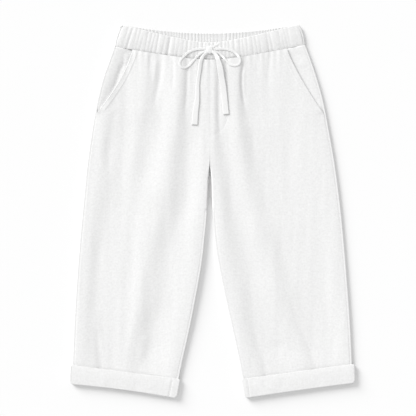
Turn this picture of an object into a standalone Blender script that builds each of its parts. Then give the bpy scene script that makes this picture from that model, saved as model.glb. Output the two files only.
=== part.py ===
"""Pull-on capri trousers with a gathered drawstring waist and turned-up cuffs, laid flat with the front up.

Tables and sizes are in millimetres. `out` is the distance from the centre seam towards a side, `down` the
distance below the top of the waist, and `up` the height over the surface that the trousers lie on. A leg's
section runs across it at a share `v` of its length, 0 at the waist seam and 1 at the fold of the cuff.
"""

import math
from collections import namedtuple

import bmesh
import bpy
from mathutils import Vector

MM = 0.001
SIGN = {"right": -1, "left": 1}  # the wearer's right lies on the viewer's left

# Where the middle of the whole outline falls, which is the origin of the part.
MIDDLE_OUT = 5.0
MIDDLE_DOWN = 392.4

# Walls, gaps and heights.
CLOTH = 1.4  # a panel's wall
HIP_CLOTH = 1.0  # the pocket's hip piece
GAP = 0.3  # between two pieces at a seam
OUTER_RIM = 5.2  # height of a leg where its side seam lies
INNER_RIM = 7.8  # and where its inseam lies
SIDE_WRAP = 4.0  # how far the back panel turns over a leg's outer edge
INSEAM_WRAP = 4.2  # the same at the inseam
INSEAM_GAP = 0.6
INNER_ROLL = 8.0  # width of the front's turned-down edge between the two crotches
CENTRE_DIP = 0.5  # how far the front sinks along the centre seam
CENTRE_DIP_WIDTH = 9.0

# The waist: lines across the garment, from the centre to the side.
Line = namedtuple("Line", "centre_down side_down side_out roundness")
FRONT_TOP = {"right": Line(38.2, 0.8, 185.5, 0.25), "left": Line(38.2, 0.0, 188.5, 0.25)}
FRONT_SEAM = {"right": Line(74.6, 47.0, 200.5, 0.25), "left": Line(74.6, 43.5, 199.5, 0.25)}
BACK_TOP = {"right": Line(18.7, 0.8, 185.5, 1.0), "left": Line(18.7, 0.0, 188.5, 1.0)}
BACK_SEAM = {"right": Line(57.0, 47.0, 200.5, 1.0), "left": Line(57.0, 43.5, 199.5, 1.0)}
HEM = {"right": Line(784.0, 755.0, 0.0, 0.0), "left": Line(784.0, 753.0, 0.0, 0.0)}
STRAIGHT_BY = 0.3  # share of a leg's length where its section lines have become straight

BAND_EDGE = 5.0  # height of the waistband's sides
BAND_WALL = 2.0  # casing with elastic in it, without its gathers
BACK_BAND_WALL = 1.6
BAND_SWELL = 0.8
BAND_TIP = 1.0  # how much more the band's top edge stands up than its seam
BAND_CREST = 0.9  # how far the gathers' crests stand over the band's sides
BACK_GATHERS = 50
BACK_GATHER_HEIGHT = 0.8
PLAIN_END = 0.07  # share of the band at each side where the gathers die out
BAND_CORNER = 6.0  # radius of the corner at the top of the waistband's sides

# Grooves between the gathers of the front waistband, at its middle, from the wearer's right to the left.
# `above` and `below` are the shares of the depth that are left at the band's top and at its seam.
Groove = namedtuple("Groove", "across depth above below")
FRONT_GROOVES = [
    Groove(-177, 0.9, 1.0, 0.5), Groove(-168, 1.0, 0.9, 1.0), Groove(-157, 0.45, 1.0, 0.3), Groove(-150, 0.4, 1.0, 0.4),
    Groove(-142, 0.4, 0.2, 1.0), Groove(-133, 0.8, 1.0, 0.4), Groove(-125, 0.6, 1.0, 0.5), Groove(-118, 0.5, 0.8, 1.0),
    Groove(-110, 0.9, 1.0, 0.8), Groove(-97, 0.5, 0.5, 1.0), Groove(-86, 1.5, 0.95, 1.0), Groove(-74, 0.4, 1.0, 0.6),
    Groove(-66, 0.4, 0.3, 1.0), Groove(-56, 0.4, 1.0, 0.4), Groove(-47, 1.0, 1.0, 0.6), Groove(-39, 0.5, 0.7, 1.0),
    Groove(-31, 0.5, 0.5, 1.0), Groove(-24, 0.6, 1.0, 0.8), Groove(-15, 0.6, 1.0, 0.6), Groove(-7, 0.5, 0.6, 1.0),
    Groove(1, 0.5, 1.0, 0.7), Groove(9, 0.6, 1.0, 0.5), Groove(18, 0.5, 1.0, 0.8), Groove(27, 0.8, 1.0, 0.6),
    Groove(34, 0.5, 0.7, 1.0), Groove(42, 0.6, 1.0, 0.5), Groove(52, 0.6, 1.0, 0.5), Groove(64, 0.8, 1.0, 0.6),
    Groove(71, 0.8, 1.0, 0.5), Groove(79, 0.6, 1.0, 0.5), Groove(90, 0.7, 0.7, 1.0), Groove(98, 0.6, 1.0, 0.8),
    Groove(106, 0.5, 0.3, 1.0), Groove(122, 0.9, 0.8, 1.0), Groove(129, 0.9, 0.9, 1.0), Groove(147, 0.5, 1.0, 0.6),
    Groove(153, 0.4, 0.4, 1.0), Groove(160, 0.5, 0.4, 1.0), Groove(166, 0.5, 1.0, 0.5), Groove(182, 0.4, 0.4, 1.0),
]
GROOVE_REACH = 2.0

# Each leg's outline as it lies, wearer's right and left.
Edge = namedtuple("Edge", "down out")
OUTER_EDGE = {
    "right": [
        Edge(47, 200.5), Edge(75, 210.5), Edge(117, 225.0), Edge(159, 235.5), Edge(201, 243.5),
        Edge(285, 256.0), Edge(369, 264.5), Edge(453, 272.5), Edge(537, 279.0), Edge(621, 284.0),
        Edge(715, 288.0), Edge(757, 289.5),
    ],
    "left": [
        Edge(43, 199.5), Edge(75, 211.5), Edge(117, 225.5), Edge(159, 237.0), Edge(201, 245.5),
        Edge(285, 260.5), Edge(369, 272.0), Edge(453, 280.5), Edge(537, 287.5), Edge(621, 293.5),
        Edge(713, 298.0), Edge(755, 299.5),
    ],
}
INNER_EDGE = {
    "right": [
        Edge(250, 0.3), Edge(291, 0.6), Edge(327, 2.9), Edge(369, 4.6), Edge(411, 7.4), Edge(453, 11.6),
        Edge(495, 16.2), Edge(537, 23.0), Edge(579, 30.8), Edge(621, 38.8), Edge(663, 47.9),
        Edge(705, 57.3), Edge(747, 66.0), Edge(784, 73.0),
    ],
    "left": [
        Edge(250, 0.3), Edge(291, 0.6), Edge(327, 3.2), Edge(369, 4.6), Edge(411, 7.2), Edge(453, 10.8),
        Edge(495, 16.8), Edge(537, 25.2), Edge(579, 34.0), Edge(621, 43.4), Edge(663, 52.7),
        Edge(705, 61.7), Edge(747, 69.5), Edge(784, 76.5),
    ],
}
FRONT_CROTCH = 293.0  # down; the legs part here in front
BACK_CROTCH = 372.0  # and here behind

# The slant pocket: its opening runs from the waist seam to the side seam.
POCKET_TOP_OUT = 161.6
POCKET_TOP = 51.0
POCKET_END = 188.0
POCKET_END_OUT = 238.5
POCKET_BOW = 1.12  # over 1 bows the opening towards the centre
POCKET_LIP = 0.6  # the front panel's edge stands this far over the hip piece's wall
POCKET_BAND = 12.0  # width of the stitched band along the opening
POCKET_BAND_HEIGHT = 0.3
UNDERLAP = 18.0  # how far the hip piece runs on under the front
HIP_SINK = {"right": 1.9, "left": 0.7}  # how far the hip piece lies below the side seam at its widest

# The front's ridges and valleys, in order from a leg's outer edge to its inner one. Each is a line down the leg
# with its height over the straight line between the leg's two rims.
Rise = namedtuple("Rise", "down out height")
FORM = {
    "right": [
        [  # along the side
            Rise(50, 192, 0.3), Rise(120, 208, 0.6), Rise(180, 212, 0.9), Rise(222, 218, 0.8), Rise(264, 232, 0.4),
            Rise(348, 244, 0.5), Rise(474, 256, 0.3), Rise(600, 265, 0.4), Rise(700, 271, 0.4), Rise(750, 274, 0.2),
        ],
        [  # valley beside it
            Rise(50, 168, 0.0), Rise(120, 176, -0.2), Rise(180, 177, -0.5), Rise(222, 179, -1.3), Rise(306, 188, -1.3),
            Rise(348, 200, -1.4), Rise(390, 209, -1.9), Rise(474, 219, -1.7), Rise(558, 223, -1.7),
            Rise(642, 222, -2.2), Rise(709, 211, -2.5), Rise(750, 210, -1.0),
        ],
        [  # short ridge from the waist
            Rise(50, 136, 0.6), Rise(120, 138, 1.2), Rise(180, 142, 1.2), Rise(222, 150, -0.1), Rise(306, 164, -0.6),
            Rise(390, 172, -0.9), Rise(474, 178, -0.8), Rise(600, 190, -0.9), Rise(709, 190, -1.7), Rise(750, 190, -0.8),
        ],
        [  # valley on the outer side of the main ridge
            Rise(50, 112, -0.4), Rise(120, 112, -0.6), Rise(180, 114, -0.7), Rise(222, 118, -1.2), Rise(306, 137, -1.4),
            Rise(348, 148, -0.7), Rise(432, 152, 0.0), Rise(516, 163, -0.4), Rise(600, 172, -0.3), Rise(709, 184, -1.5),
            Rise(750, 186, -0.7),
        ],
        [  # the main ridge, from the waist to the cuff
            Rise(50, 62, 1.4), Rise(120, 64, 2.0), Rise(180, 68, 2.2), Rise(222, 74, 1.7), Rise(306, 89, 1.6),
            Rise(348, 97, 2.0), Rise(390, 105, 1.5), Rise(432, 117, 1.5), Rise(474, 127, 0.9), Rise(558, 147, 0.5),
            Rise(600, 153, 0.6), Rise(642, 163, 0.1), Rise(709, 175, -1.1), Rise(750, 178, -0.5),
        ],
        [  # the valley inside it
            Rise(50, 44, -0.4), Rise(180, 43, -0.8), Rise(222, 41, -1.4), Rise(264, 43, -2.2), Rise(348, 49, -2.2),
            Rise(390, 57, -2.2), Rise(432, 71, -1.7), Rise(474, 83, -1.9), Rise(558, 95, -2.1), Rise(600, 104, -2.7),
            Rise(642, 117, -2.9), Rise(684, 128, -3.1), Rise(709, 141, -3.1), Rise(750, 148, -1.4),
        ],
        [  # along the centre seam and the inseam
            Rise(50, 10, 0.0), Rise(264, 10, 0.0), Rise(348, 13, 0.1), Rise(432, 24, 0.4), Rise(558, 38, 0.4),
            Rise(642, 53, 0.2), Rise(709, 68, 0.2), Rise(750, 76, 0.1),
        ],
    ],
    "left": [
        [  # along the side
            Rise(50, 188, 0.2), Rise(120, 214, 0.3), Rise(180, 226, 0.5), Rise(264, 238, 0.4), Rise(348, 256, 0.1),
            Rise(474, 272, 0.0), Rise(642, 285, 0.2), Rise(700, 283, 0.6), Rise(750, 284, 0.3),
        ],
        [  # the slow slope beside it
            Rise(50, 160, 0.0), Rise(120, 175, -0.4), Rise(180, 180, -0.7), Rise(264, 185, -1.4), Rise(390, 190, -1.8),
            Rise(474, 205, -1.8), Rise(558, 228, -1.9), Rise(642, 250, -1.6), Rise(709, 258, -0.8), Rise(750, 260, -0.4),
        ],
        [  # valley on the outer side of the main ridge
            Rise(50, 76, -1.6), Rise(120, 77, -2.5), Rise(180, 80, -3.0), Rise(222, 90, -2.6), Rise(264, 98, -2.9),
            Rise(306, 107, -3.2), Rise(348, 114, -2.9), Rise(390, 126, -2.7), Rise(432, 143, -2.1), Rise(474, 156, -2.4),
            Rise(516, 172, -2.4), Rise(558, 189, -2.2), Rise(600, 203, -2.4), Rise(642, 214, -2.3), Rise(684, 226, -2.1),
            Rise(709, 230, -1.4), Rise(750, 232, -0.6),
        ],
        [  # the main ridge, from the waist to the cuff
            Rise(50, 58, 0.2), Rise(120, 56, 0.3), Rise(180, 56, 0.3), Rise(222, 60, 0.8), Rise(264, 65, 0.2),
            Rise(306, 72, -0.4), Rise(390, 88, -0.6), Rise(432, 101, 0.0), Rise(474, 114, -0.3), Rise(516, 129, -0.2),
            Rise(558, 141, 0.2), Rise(600, 152, -0.1), Rise(642, 168, -0.5), Rise(684, 190, -0.8), Rise(709, 196, 0.0),
            Rise(750, 198, 0.0),
        ],
        [  # the valley inside it
            Rise(50, 30, -0.9), Rise(120, 22, -1.2), Rise(180, 20, -1.3), Rise(222, 25, -1.3), Rise(264, 31, -2.0),
            Rise(306, 39, -2.3), Rise(348, 46, -2.6), Rise(390, 54, -2.4), Rise(432, 61, -1.9), Rise(474, 71, -2.0),
            Rise(516, 81, -2.2), Rise(558, 90, -1.9), Rise(642, 111, -2.1), Rise(684, 119, -1.9), Rise(709, 123, -1.3),
            Rise(750, 126, -0.6),
        ],
        [  # along the centre seam and the inseam
            Rise(50, 5, 0.3), Rise(306, 10, 0.2), Rise(348, 16, 0.4), Rise(432, 27, 0.8), Rise(516, 40, 0.6),
            Rise(600, 58, 0.4), Rise(684, 80, 0.8), Rise(709, 90, 0.8), Rise(750, 95, 0.3),
        ],
    ],
}
WAIST_RISE = 1.4  # how much higher the cloth lies at the waist seam
WAIST_RISE_END = 240.0  # down, where that has died out
TUCKS = 13  # small waves where the waist seam gathers each front
TUCK_HEIGHT = 0.8
TUCK_LENGTH = 24.0

# The cuffs.
CUFF_TOP = 0.943  # v
CUFF_WALL = 1.6
CUFF_HALF = 3.8  # half of a cuff's height
CUFF_PROUD = {"outer": 5.2, "inner": 3.4}
CUFF_LIP = 2.8  # wall at the fold, where the cloth turns up
LEG_END = 0.986
CUFF_LIFT = CUFF_WALL + GAP
CUFF_EDGE = 3.5  # height of the leg's edge inside its cuff
RIM_RAMP = 0.12  # v over which its rims come down to that
CUFF_RAMP = 0.05  # v over which the leg climbs onto the back of its cuff
CUFF_FOLD_SHARE = 0.05  # what is left of the folds inside a cuff

# The drawstring: a flat tape. `lift` is the clearance of its lower edge over the cloth, and `lean` turns it
# from lying flat (0) to standing on its edge (90).
TAPE = 1.5  # its thickness, creased along its middle as it is
Tape = namedtuple("Tape", "across down lift lean width")
LOOPS = {
    "right": [
        Tape(-6.9, 52.2, 2.0, 50, 4.8), Tape(-13.0, 50.2, 1.4, 46, 5.4), Tape(-25.0, 49.8, 0.8, 38, 6.4),
        Tape(-36.0, 51.8, 0.4, 32, 6.8), Tape(-46.5, 56.6, 0.45, 32, 6.8), Tape(-57.5, 67.0, 0.7, 36, 6.4),
        Tape(-63.0, 79.5, 0.45, 42, 5.8), Tape(-60.5, 90.0, 0.35, 46, 5.4), Tape(-52.0, 93.4, 0.35, 48, 5.2),
        Tape(-43.0, 89.0, 0.35, 48, 5.2), Tape(-33.5, 78.5, 0.5, 48, 5.4), Tape(-24.5, 68.0, 0.8, 48, 5.4),
        Tape(-15.0, 59.6, 1.4, 50, 5.0), Tape(-7.0, 56.2, 2.0, 54, 4.8),
    ],
    "left": [
        Tape(6.9, 52.4, 2.0, 130, 4.8), Tape(14.0, 51.2, 1.4, 138, 5.8), Tape(27.0, 51.2, 0.8, 146, 7.2),
        Tape(38.0, 52.0, 0.4, 150, 8.0), Tape(49.0, 55.6, 0.35, 150, 7.8), Tape(58.5, 63.5, 0.35, 144, 7.0),
        Tape(63.6, 74.0, 0.35, 138, 6.2), Tape(60.6, 83.0, 0.35, 134, 5.6), Tape(51.5, 86.6, 0.35, 132, 5.2),
        Tape(42.5, 83.4, 0.35, 132, 5.2), Tape(33.5, 75.0, 0.5, 132, 5.4), Tape(24.0, 66.0, 0.8, 132, 5.4),
        Tape(15.5, 59.8, 1.4, 130, 5.0), Tape(7.0, 56.4, 2.0, 126, 4.8),
    ],
}
TAILS = {
    "right": [
        Tape(-4.2, 63.0, 1.8, 56, 5.0), Tape(-10.5, 67.0, 1.6, 48, 6.0), Tape(-17.6, 76.5, 1.3, 36, 7.6),
        Tape(-22.6, 92.0, 0.8, 24, 8.6), Tape(-24.8, 110.0, 0.7, 16, 9.0), Tape(-26.6, 130.0, 0.7, 12, 9.0),
        Tape(-27.8, 150.0, 0.6, 12, 8.6), Tape(-28.6, 170.0, 0.5, 12, 8.0), Tape(-29.4, 190.0, 0.4, 10, 8.0),
        Tape(-30.0, 211.0, 0.4, 8, 8.6),
    ],
    "left": [
        Tape(4.2, 63.0, 2.2, 120, 5.5), Tape(11.0, 66.6, 2.4, 136, 7.5), Tape(17.6, 73.0, 2.6, 150, 10.0),
        Tape(22.6, 90.0, 2.8, 164, 12.0), Tape(25.8, 110.0, 2.6, 170, 13.0), Tape(28.4, 130.0, 2.2, 173, 13.5),
        Tape(31.2, 150.0, 1.6, 175, 13.5), Tape(33.6, 170.0, 0.9, 177, 13.5), Tape(35.2, 191.0, 0.4, 178, 13.5),
    ],
}
FEEDS = {
    "right": [Tape(-17.0, 41.6, -0.5, 25, 6.0), Tape(-11.0, 43.6, -0.1, 50, 5.5), Tape(-4.6, 46.5, 1.6, 70, 5.0)],
    "left": [Tape(19.0, 40.6, -0.5, 155, 6.0), Tape(12.0, 43.4, -0.1, 130, 5.5), Tape(4.8, 46.6, 1.6, 110, 5.0)],
}
TAPE_STEP = 6.0
KNOT_PLACE = (0.0, 54.6)  # across, down
KNOT_HALF = (6.2, 8.6, 3.0)  # across, along, up
KNOT_LIFT = 0.4


def ease(share):
    """0 below 0, 1 above 1 and a smooth step between them."""
    t = min(1.0, max(0.0, share))
    return t * t * (3 - 2 * t)


def mix(a, b, share):
    return a + (b - a) * share


def smooth(rows, column, at):
    """A column's value at a station, on a smooth curve through the rows of a table. Its first column is the station."""
    stations = [row[0] for row in rows]
    if at <= stations[0]:
        return getattr(rows[0], column)
    if at >= stations[-1]:
        return getattr(rows[-1], column)
    i = max(k for k, station in enumerate(stations) if station <= at)

    def slope(k):
        low, high = max(k - 1, 0), min(k + 1, len(rows) - 1)
        return (getattr(rows[high], column) - getattr(rows[low], column)) / (stations[high] - stations[low])

    width = stations[i + 1] - stations[i]
    t = (at - stations[i]) / width
    a, b = getattr(rows[i], column), getattr(rows[i + 1], column)
    rise = t * t * (3 - 2 * t)
    return a + (b - a) * rise + width * ((t - 2 * t**2 + t**3) * slope(i) + (t**3 - t**2) * slope(i + 1))


# ---- The shape of the laid trousers ----


def bend(share, roundness):
    """How far a line has climbed from the centre to the side: straight at roundness 0, a flat middle above it."""
    if roundness < 0.001:
        return share
    r = roundness
    return (math.hypot(share, r) - r) / (math.hypot(1, r) - r)


def line_down(line, out):
    """How far down a line across the waist lies, at a distance from the centre."""
    return mix(line.centre_down, line.side_down, bend(out / line.side_out, line.roundness))


def edges(side, v, seam):
    """The inner and outer limits of a leg's outline at a section, with how far down each one lies."""
    inner_down = mix(seam[side].centre_down, HEM[side].centre_down, v)
    outer_down = mix(seam[side].side_down, HEM[side].side_down, v)
    inner = smooth(INNER_EDGE[side], "out", inner_down)
    return inner, inner_down, smooth(OUTER_EDGE[side], "out", outer_down), outer_down


def section_down(side, v, out, seam=FRONT_SEAM):
    """How far down a section lies at a distance from the centre."""
    inner, inner_down, outer, outer_down = edges(side, v, seam)
    share = (out - inner) / (outer - inner)
    roundness = seam[side].roundness * (1 - ease(v / STRAIGHT_BY))
    return mix(inner_down, outer_down, bend(share, roundness))


def slant_out(down):
    """The pocket opening's distance from the centre, or far out below the pocket."""
    share = (down - POCKET_TOP) / (POCKET_END - POCKET_TOP)
    if share >= 1:
        return 1000.0
    return mix(POCKET_TOP_OUT, POCKET_END_OUT, max(share, 0) ** POCKET_BOW)


def parted(down, ahead=0.0):
    """0 where the two legs are still joined behind and 1 where each one is closed at its inseam."""
    return ease((down - BACK_CROTCH + 8 + ahead) / 24)


def lift(v):
    return CUFF_LIFT * ease((v - CUFF_TOP + CUFF_RAMP) / (CUFF_RAMP - 0.003))


def rim_height(v, rim=OUTER_RIM):
    """Height of a leg's rim over the surface that the leg itself lies on."""
    return mix(rim, CUFF_EDGE + CUFF_LIFT, ease((v - CUFF_TOP + RIM_RAMP) / RIM_RAMP)) - lift(v)


def rim_between(side, v, out):
    """The straight line across a leg between its two rims."""
    inner, _, outer, _ = edges(side, v, FRONT_SEAM)
    share = min(1.0, max(0.0, (out - inner) / (outer - inner)))
    return lift(v) + mix(rim_height(v, INNER_RIM), rim_height(v), share)


def front_limits(side, v):
    """The front panel's own inner and outer edges at a section, and where its side seam would be."""
    inner, inner_down, outer, _ = edges(side, v, FRONT_SEAM)
    inner = max(inner, GAP / 2) + (INSEAM_WRAP + INSEAM_GAP) * parted(inner_down, 8.0)
    seam = outer - SIDE_WRAP - GAP
    out = seam
    for _ in range(12):
        out = min(seam, slant_out(section_down(side, v, out)))
    return inner, out, seam


def across_lines(outs, heights, out):
    """A smooth profile through places in order from the outer edge inwards, level at each crest and valley."""
    for k in range(1, len(outs)):
        outs[k] = min(outs[k], outs[k - 1] - 2.5)
    rises = [(heights[k + 1] - heights[k]) / (outs[k + 1] - outs[k]) for k in range(len(outs) - 1)]
    slopes = [rises[0]]
    for before, after in zip(rises, rises[1:]):
        slopes.append(2 * before * after / (before + after) if before * after > 0 else 0.0)
    slopes.append(rises[-1])
    for k in range(len(outs) - 1):
        width = outs[k + 1] - outs[k]
        t = (out - outs[k]) / width
        if 0 <= t <= 1:
            bent = width * ((t - 2 * t**2 + t**3) * slopes[k] + (t**3 - t**2) * slopes[k + 1])
            return mix(heights[k], heights[k + 1], t * t * (3 - 2 * t)) + bent
    return 0.0


def form_height(side, v, down, out):
    """The height of the ridges and valleys over the straight line between a leg's two rims."""
    inner, _, outer, _ = edges(side, v, FRONT_SEAM)
    lines = FORM[side]
    outs = [outer] + [smooth(line, "out", down) for line in lines] + [inner]
    heights = [0.0] + [smooth(line, "height", down) for line in lines] + [0.0]
    return across_lines(outs, heights, out)


def tuck_height(side, down, out):
    """Small waves that leave the waist seam and die out below it."""
    below = max(0.0, down - line_down(FRONT_SEAM[side], out))
    share = out / FRONT_SEAM[side].side_out
    phase = TUCKS * share + 0.45 * math.sin(9.1 * share + SIGN[side])
    return TUCK_HEIGHT * math.exp(-below / TUCK_LENGTH) * math.cos(2 * math.pi * phase) * ease((1 - share) / 0.12)


def front_height(side, v, out):
    """Height of a front panel's outer face."""
    inner, outer, seam = front_limits(side, v)
    down = section_down(side, v, out)
    in_cuff = ease((v - CUFF_TOP + 0.05) / 0.05)
    closed = ease((down - FRONT_CROTCH + 30) / 40)
    dip = CENTRE_DIP * (1 - ease((out - inner) / CENTRE_DIP_WIDTH)) * (1 - closed)
    folds = form_height(side, v, down, out) * mix(1, CUFF_FOLD_SHARE, in_cuff)
    folds += WAIST_RISE * ease((WAIST_RISE_END - down) / (WAIST_RISE_END - 45))
    height = rim_between(side, v, out) + folds + tuck_height(side, down, out) - dip
    # Between the two crotches the front's edge comes down on the back panel.
    rolled = min(1.0, max(0.0, 1 - (out - inner) / INNER_ROLL)) ** 2
    height = mix(height, 2 * CLOTH + 2 * GAP, closed * (1 - parted(down)) * rolled)
    # Along the pocket the panel's edge rides on the hip piece.
    pocket = (1 - ease((section_down(side, v, outer) - POCKET_END + 9) / 12)) * (1 - ease((outer - out - UNDERLAP) / 24))
    height = max(height, mix(height, hip_height(side, v, out) + CLOTH + POCKET_LIP, pocket))
    if seam - outer > 0.5:
        away = outer - out
        height += POCKET_BAND_HEIGHT * ease(away / 1.2 + 0.35) * ease((POCKET_BAND + 0.8 - away) / 1.6)
    return max(height, lift(v) + 2 * CLOTH + GAP)


def hip_height(side, v, out):
    """Height of the hip piece's outer face, which sinks from the side seam to the pocket's mouth."""
    _, outer, seam = front_limits(side, v)
    wide = seam - outer
    sink = HIP_SINK[side] * ease(wide / 32)
    return OUTER_RIM - (0.3 + sink) * ease((seam - out) / max(wide, 8.0)) ** 1.4


def front_point(side, v, out, up):
    return (SIGN[side] * out, section_down(side, v, out), up)


def curl_length(radius, wrap):
    return math.pi * radius + max(wrap - radius, 0.0)


def curl(along, turned, radius, wrap):
    """A turned-up edge: how far it reaches and climbs at a distance `along` from the panel's end, and its slope angle."""
    past = turned * curl_length(radius, wrap) - along
    if past <= 0:
        return past, 0.0, 0.0
    if past <= math.pi * radius:
        angle = past / radius
        return radius * math.sin(angle), radius * (1 - math.cos(angle)), angle
    return math.pi * radius - past, 2 * radius, math.pi


# ---- Solids ----


def world(point):
    across, down, up = point
    return Vector(((across - MIDDLE_OUT) * MM, (MIDDLE_DOWN - down) * MM, up * MM))


def material(name, colour, roughness):
    made = bpy.data.materials.new(name)
    made.use_nodes = True
    shader = made.node_tree.nodes["Principled BSDF"]
    shader.inputs["Base Color"].default_value = (*colour, 1)
    shader.inputs["Roughness"].default_value = roughness
    shader.inputs["Metallic"].default_value = 0
    made.diffuse_color = (*colour, 1)
    return made


def solid(name, mesh, finish):
    """Closes the bookkeeping on a bmesh and puts it in the scene as one named object."""
    bmesh.ops.recalc_face_normals(mesh, faces=mesh.faces)
    data = bpy.data.meshes.new(name)
    mesh.to_mesh(data)
    mesh.free()
    data.materials.append(finish)
    data.shade_smooth()
    data.set_sharp_from_angle(angle=math.radians(50))
    made = bpy.data.objects.new(name, data)
    bpy.context.scene.collection.objects.link(made)
    return made


def sheet(name, outer, inner, finish):
    """A wall between two grids of points that match row by row."""
    mesh = bmesh.new()
    faces = [[[mesh.verts.new(world(p)) for p in row] for row in grid] for grid in (outer, inner)]
    rows, columns = len(outer), len(outer[0])
    for grid in faces:
        for r in range(rows - 1):
            for c in range(columns - 1):
                mesh.faces.new((grid[r][c], grid[r][c + 1], grid[r + 1][c + 1], grid[r + 1][c]))
    around = [(0, c) for c in range(columns)] + [(r, columns - 1) for r in range(1, rows)]
    around += [(rows - 1, c) for c in range(columns - 2, -1, -1)] + [(r, 0) for r in range(rows - 2, 0, -1)]
    for (r, c), (s, d) in zip(around, around[1:] + around[:1]):
        mesh.faces.new((faces[0][r][c], faces[0][s][d], faces[1][s][d], faces[1][r][c]))
    return solid(name, mesh, finish)


def ring(name, loops, finish):
    """A closed band from loops of points, where the last loop joins the first."""
    mesh = bmesh.new()
    made = [[mesh.verts.new(world(p)) for p in loop] for loop in loops]
    for a, b in zip(made, made[1:] + made[:1]):
        for c in range(len(a)):
            d = (c + 1) % len(a)
            mesh.faces.new((a[c], a[d], b[d], b[c]))
    return solid(name, mesh, finish)


def bar(name, sections, finish):
    """A closed bar through sections of points, with a flat face on each end."""
    mesh = bmesh.new()
    made = [[mesh.verts.new(world(p)) for p in section] for section in sections]
    for a, b in zip(made, made[1:]):
        for c in range(len(a)):
            d = (c + 1) % len(a)
            mesh.faces.new((a[c], a[d], b[d], b[c]))
    mesh.faces.new(made[0])
    mesh.faces.new(made[-1])
    return solid(name, mesh, finish)


# ---- Legs ----

FRONT_COLUMNS = 28
HIP_ROWS = [0.0, 0.014, 0.032, 0.055, 0.08, 0.108, 0.138, 0.168, 0.186]
FRONT_ROWS = HIP_ROWS + [0.205, 0.235, 0.27, 0.305, 0.33, 0.348, 0.365, 0.385, 0.41]
FRONT_ROWS += [0.45, 0.5, 0.555, 0.61, 0.665, 0.72, 0.775, 0.825, 0.865, 0.893, 0.92, 0.941, 0.955, LEG_END]
BACK_ROWS = [v for v in FRONT_ROWS if v not in (0.72, 0.825)]
POCKET_COLUMNS = [0.0, 1.4, 11.2, 13.6]
INNER_COLUMNS = [8.0, 5.0, 2.4, 0.0]
CURL_SHARES = [0.0, 0.2, 0.36, 0.52, 0.68, 0.84, 1.0]
BACK_FLAT_COLUMNS = 4


def front_panel(side, finish):
    outer, inner = [], []
    for v in FRONT_ROWS:
        low, high, _ = front_limits(side, v)
        outs = [high - away for away in POCKET_COLUMNS]
        plain = FRONT_COLUMNS - len(POCKET_COLUMNS) - len(INNER_COLUMNS)
        for i in range(1, plain + 1):
            outs.append(mix(outs[3], low + INNER_COLUMNS[0], i / (plain + 1)))
        outs += [low + away for away in INNER_COLUMNS]
        start = GAP / 2 if v == 0 else 0.0
        face = [front_point(side, v, out, front_height(side, v, out)) for out in outs]
        face = [(x, down + start, up) for x, down, up in face]
        outer.append(face)
        inner.append([(x, down, up - CLOTH) for x, down, up in face])
    return sheet(f"front_{side}", outer, inner, finish)


def back_panel(side, finish):
    """A flat panel whose outer edge turns up to the side seam, and its inner edge to the inseam below the crotch."""
    outer, inner = [], []
    for v in BACK_ROWS:
        low, low_down, high, _ = edges(side, v, BACK_SEAM)
        low = max(low * ease((low_down - BACK_CROTCH + 14) / 16), GAP / 2)
        radius, inner_radius = rim_height(v) / 2, rim_height(v, INNER_RIM) / 2
        turned = parted(low_down)
        length, inner_length = curl_length(radius, SIDE_WRAP), curl_length(inner_radius, INSEAM_WRAP)
        low_centre = low + inner_radius * math.sin(min(turned * inner_length / inner_radius, math.pi / 2))
        points = []
        for share in CURL_SHARES:
            reach, climb, angle = curl(share * length, 1.0, radius, SIDE_WRAP)
            points.append((high - radius + reach, climb, angle, 1))
        low_points = []
        for share in CURL_SHARES:
            reach, climb, angle = curl(share * inner_length, turned, inner_radius, INSEAM_WRAP)
            low_points.append((low_centre - reach, climb, angle, -1))
        for i in range(1, BACK_FLAT_COLUMNS + 1):
            share = i / (BACK_FLAT_COLUMNS + 1)
            points.append((mix(points[len(CURL_SHARES) - 1][0], low_points[-1][0], share), 0.0, 0.0, 1))
        points += low_points[::-1]
        start = GAP / 2 if v == 0 else 0.0
        face, lining = [], []
        for out, climb, angle, way in points:
            down = section_down(side, v, out, BACK_SEAM) + start
            face.append((SIGN[side] * out, down, lift(v) + climb))
            inside = out - way * CLOTH * math.sin(angle)
            lining.append((SIGN[side] * inside, down, lift(v) + climb + CLOTH * math.cos(angle)))
        outer.append(face)
        inner.append(lining)
    return sheet(f"back_{side}", outer, inner, finish)


HIP_COLUMNS = 6


def hip_piece(side, finish):
    """The piece that shows between the pocket's opening and the side seam, and runs on under the front."""
    outer, inner = [], []
    for v in HIP_ROWS:
        _, mouth, seam = front_limits(side, v)
        start = GAP / 2 if v == 0 else 0.0
        row = []
        for i in range(HIP_COLUMNS + 1):
            out = mix(seam, mouth - UNDERLAP, i / HIP_COLUMNS)
            row.append(front_point(side, v, out, hip_height(side, v, out)))
        row = [(x, down + start, up) for x, down, up in row]
        outer.append(row)
        inner.append([(x, down, up - HIP_CLOTH) for x, down, up in row])
    return sheet(f"pocket_hip_{side}", outer, inner, finish)


# ---- Waistband ----


def gather_phase(share, count):
    """Turns an even share of the waist into unevenly spaced gathers."""
    uneven = 0.5 * math.sin(14.5 * share + 1.0) + 0.22 * math.sin(38.3 * share + 0.4)
    return count * share + uneven


def gather_shares(count, per_gather):
    """Shares of the waist at the gathers' grooves, slopes and crests."""
    first, last = gather_phase(0, count), gather_phase(1, count)
    shares = [0.0]
    step = 1 / per_gather
    phase = math.ceil(first / step) * step
    while phase < last:
        low, high = 0.0, 1.0
        for _ in range(40):
            middle = (low + high) / 2
            low, high = (middle, high) if gather_phase(middle, count) < phase else (low, middle)
        if low - shares[-1] > 0.0008 and 1 - low > 0.0008:
            shares.append(low)
        phase += step
    return shares + [1.0]


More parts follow.
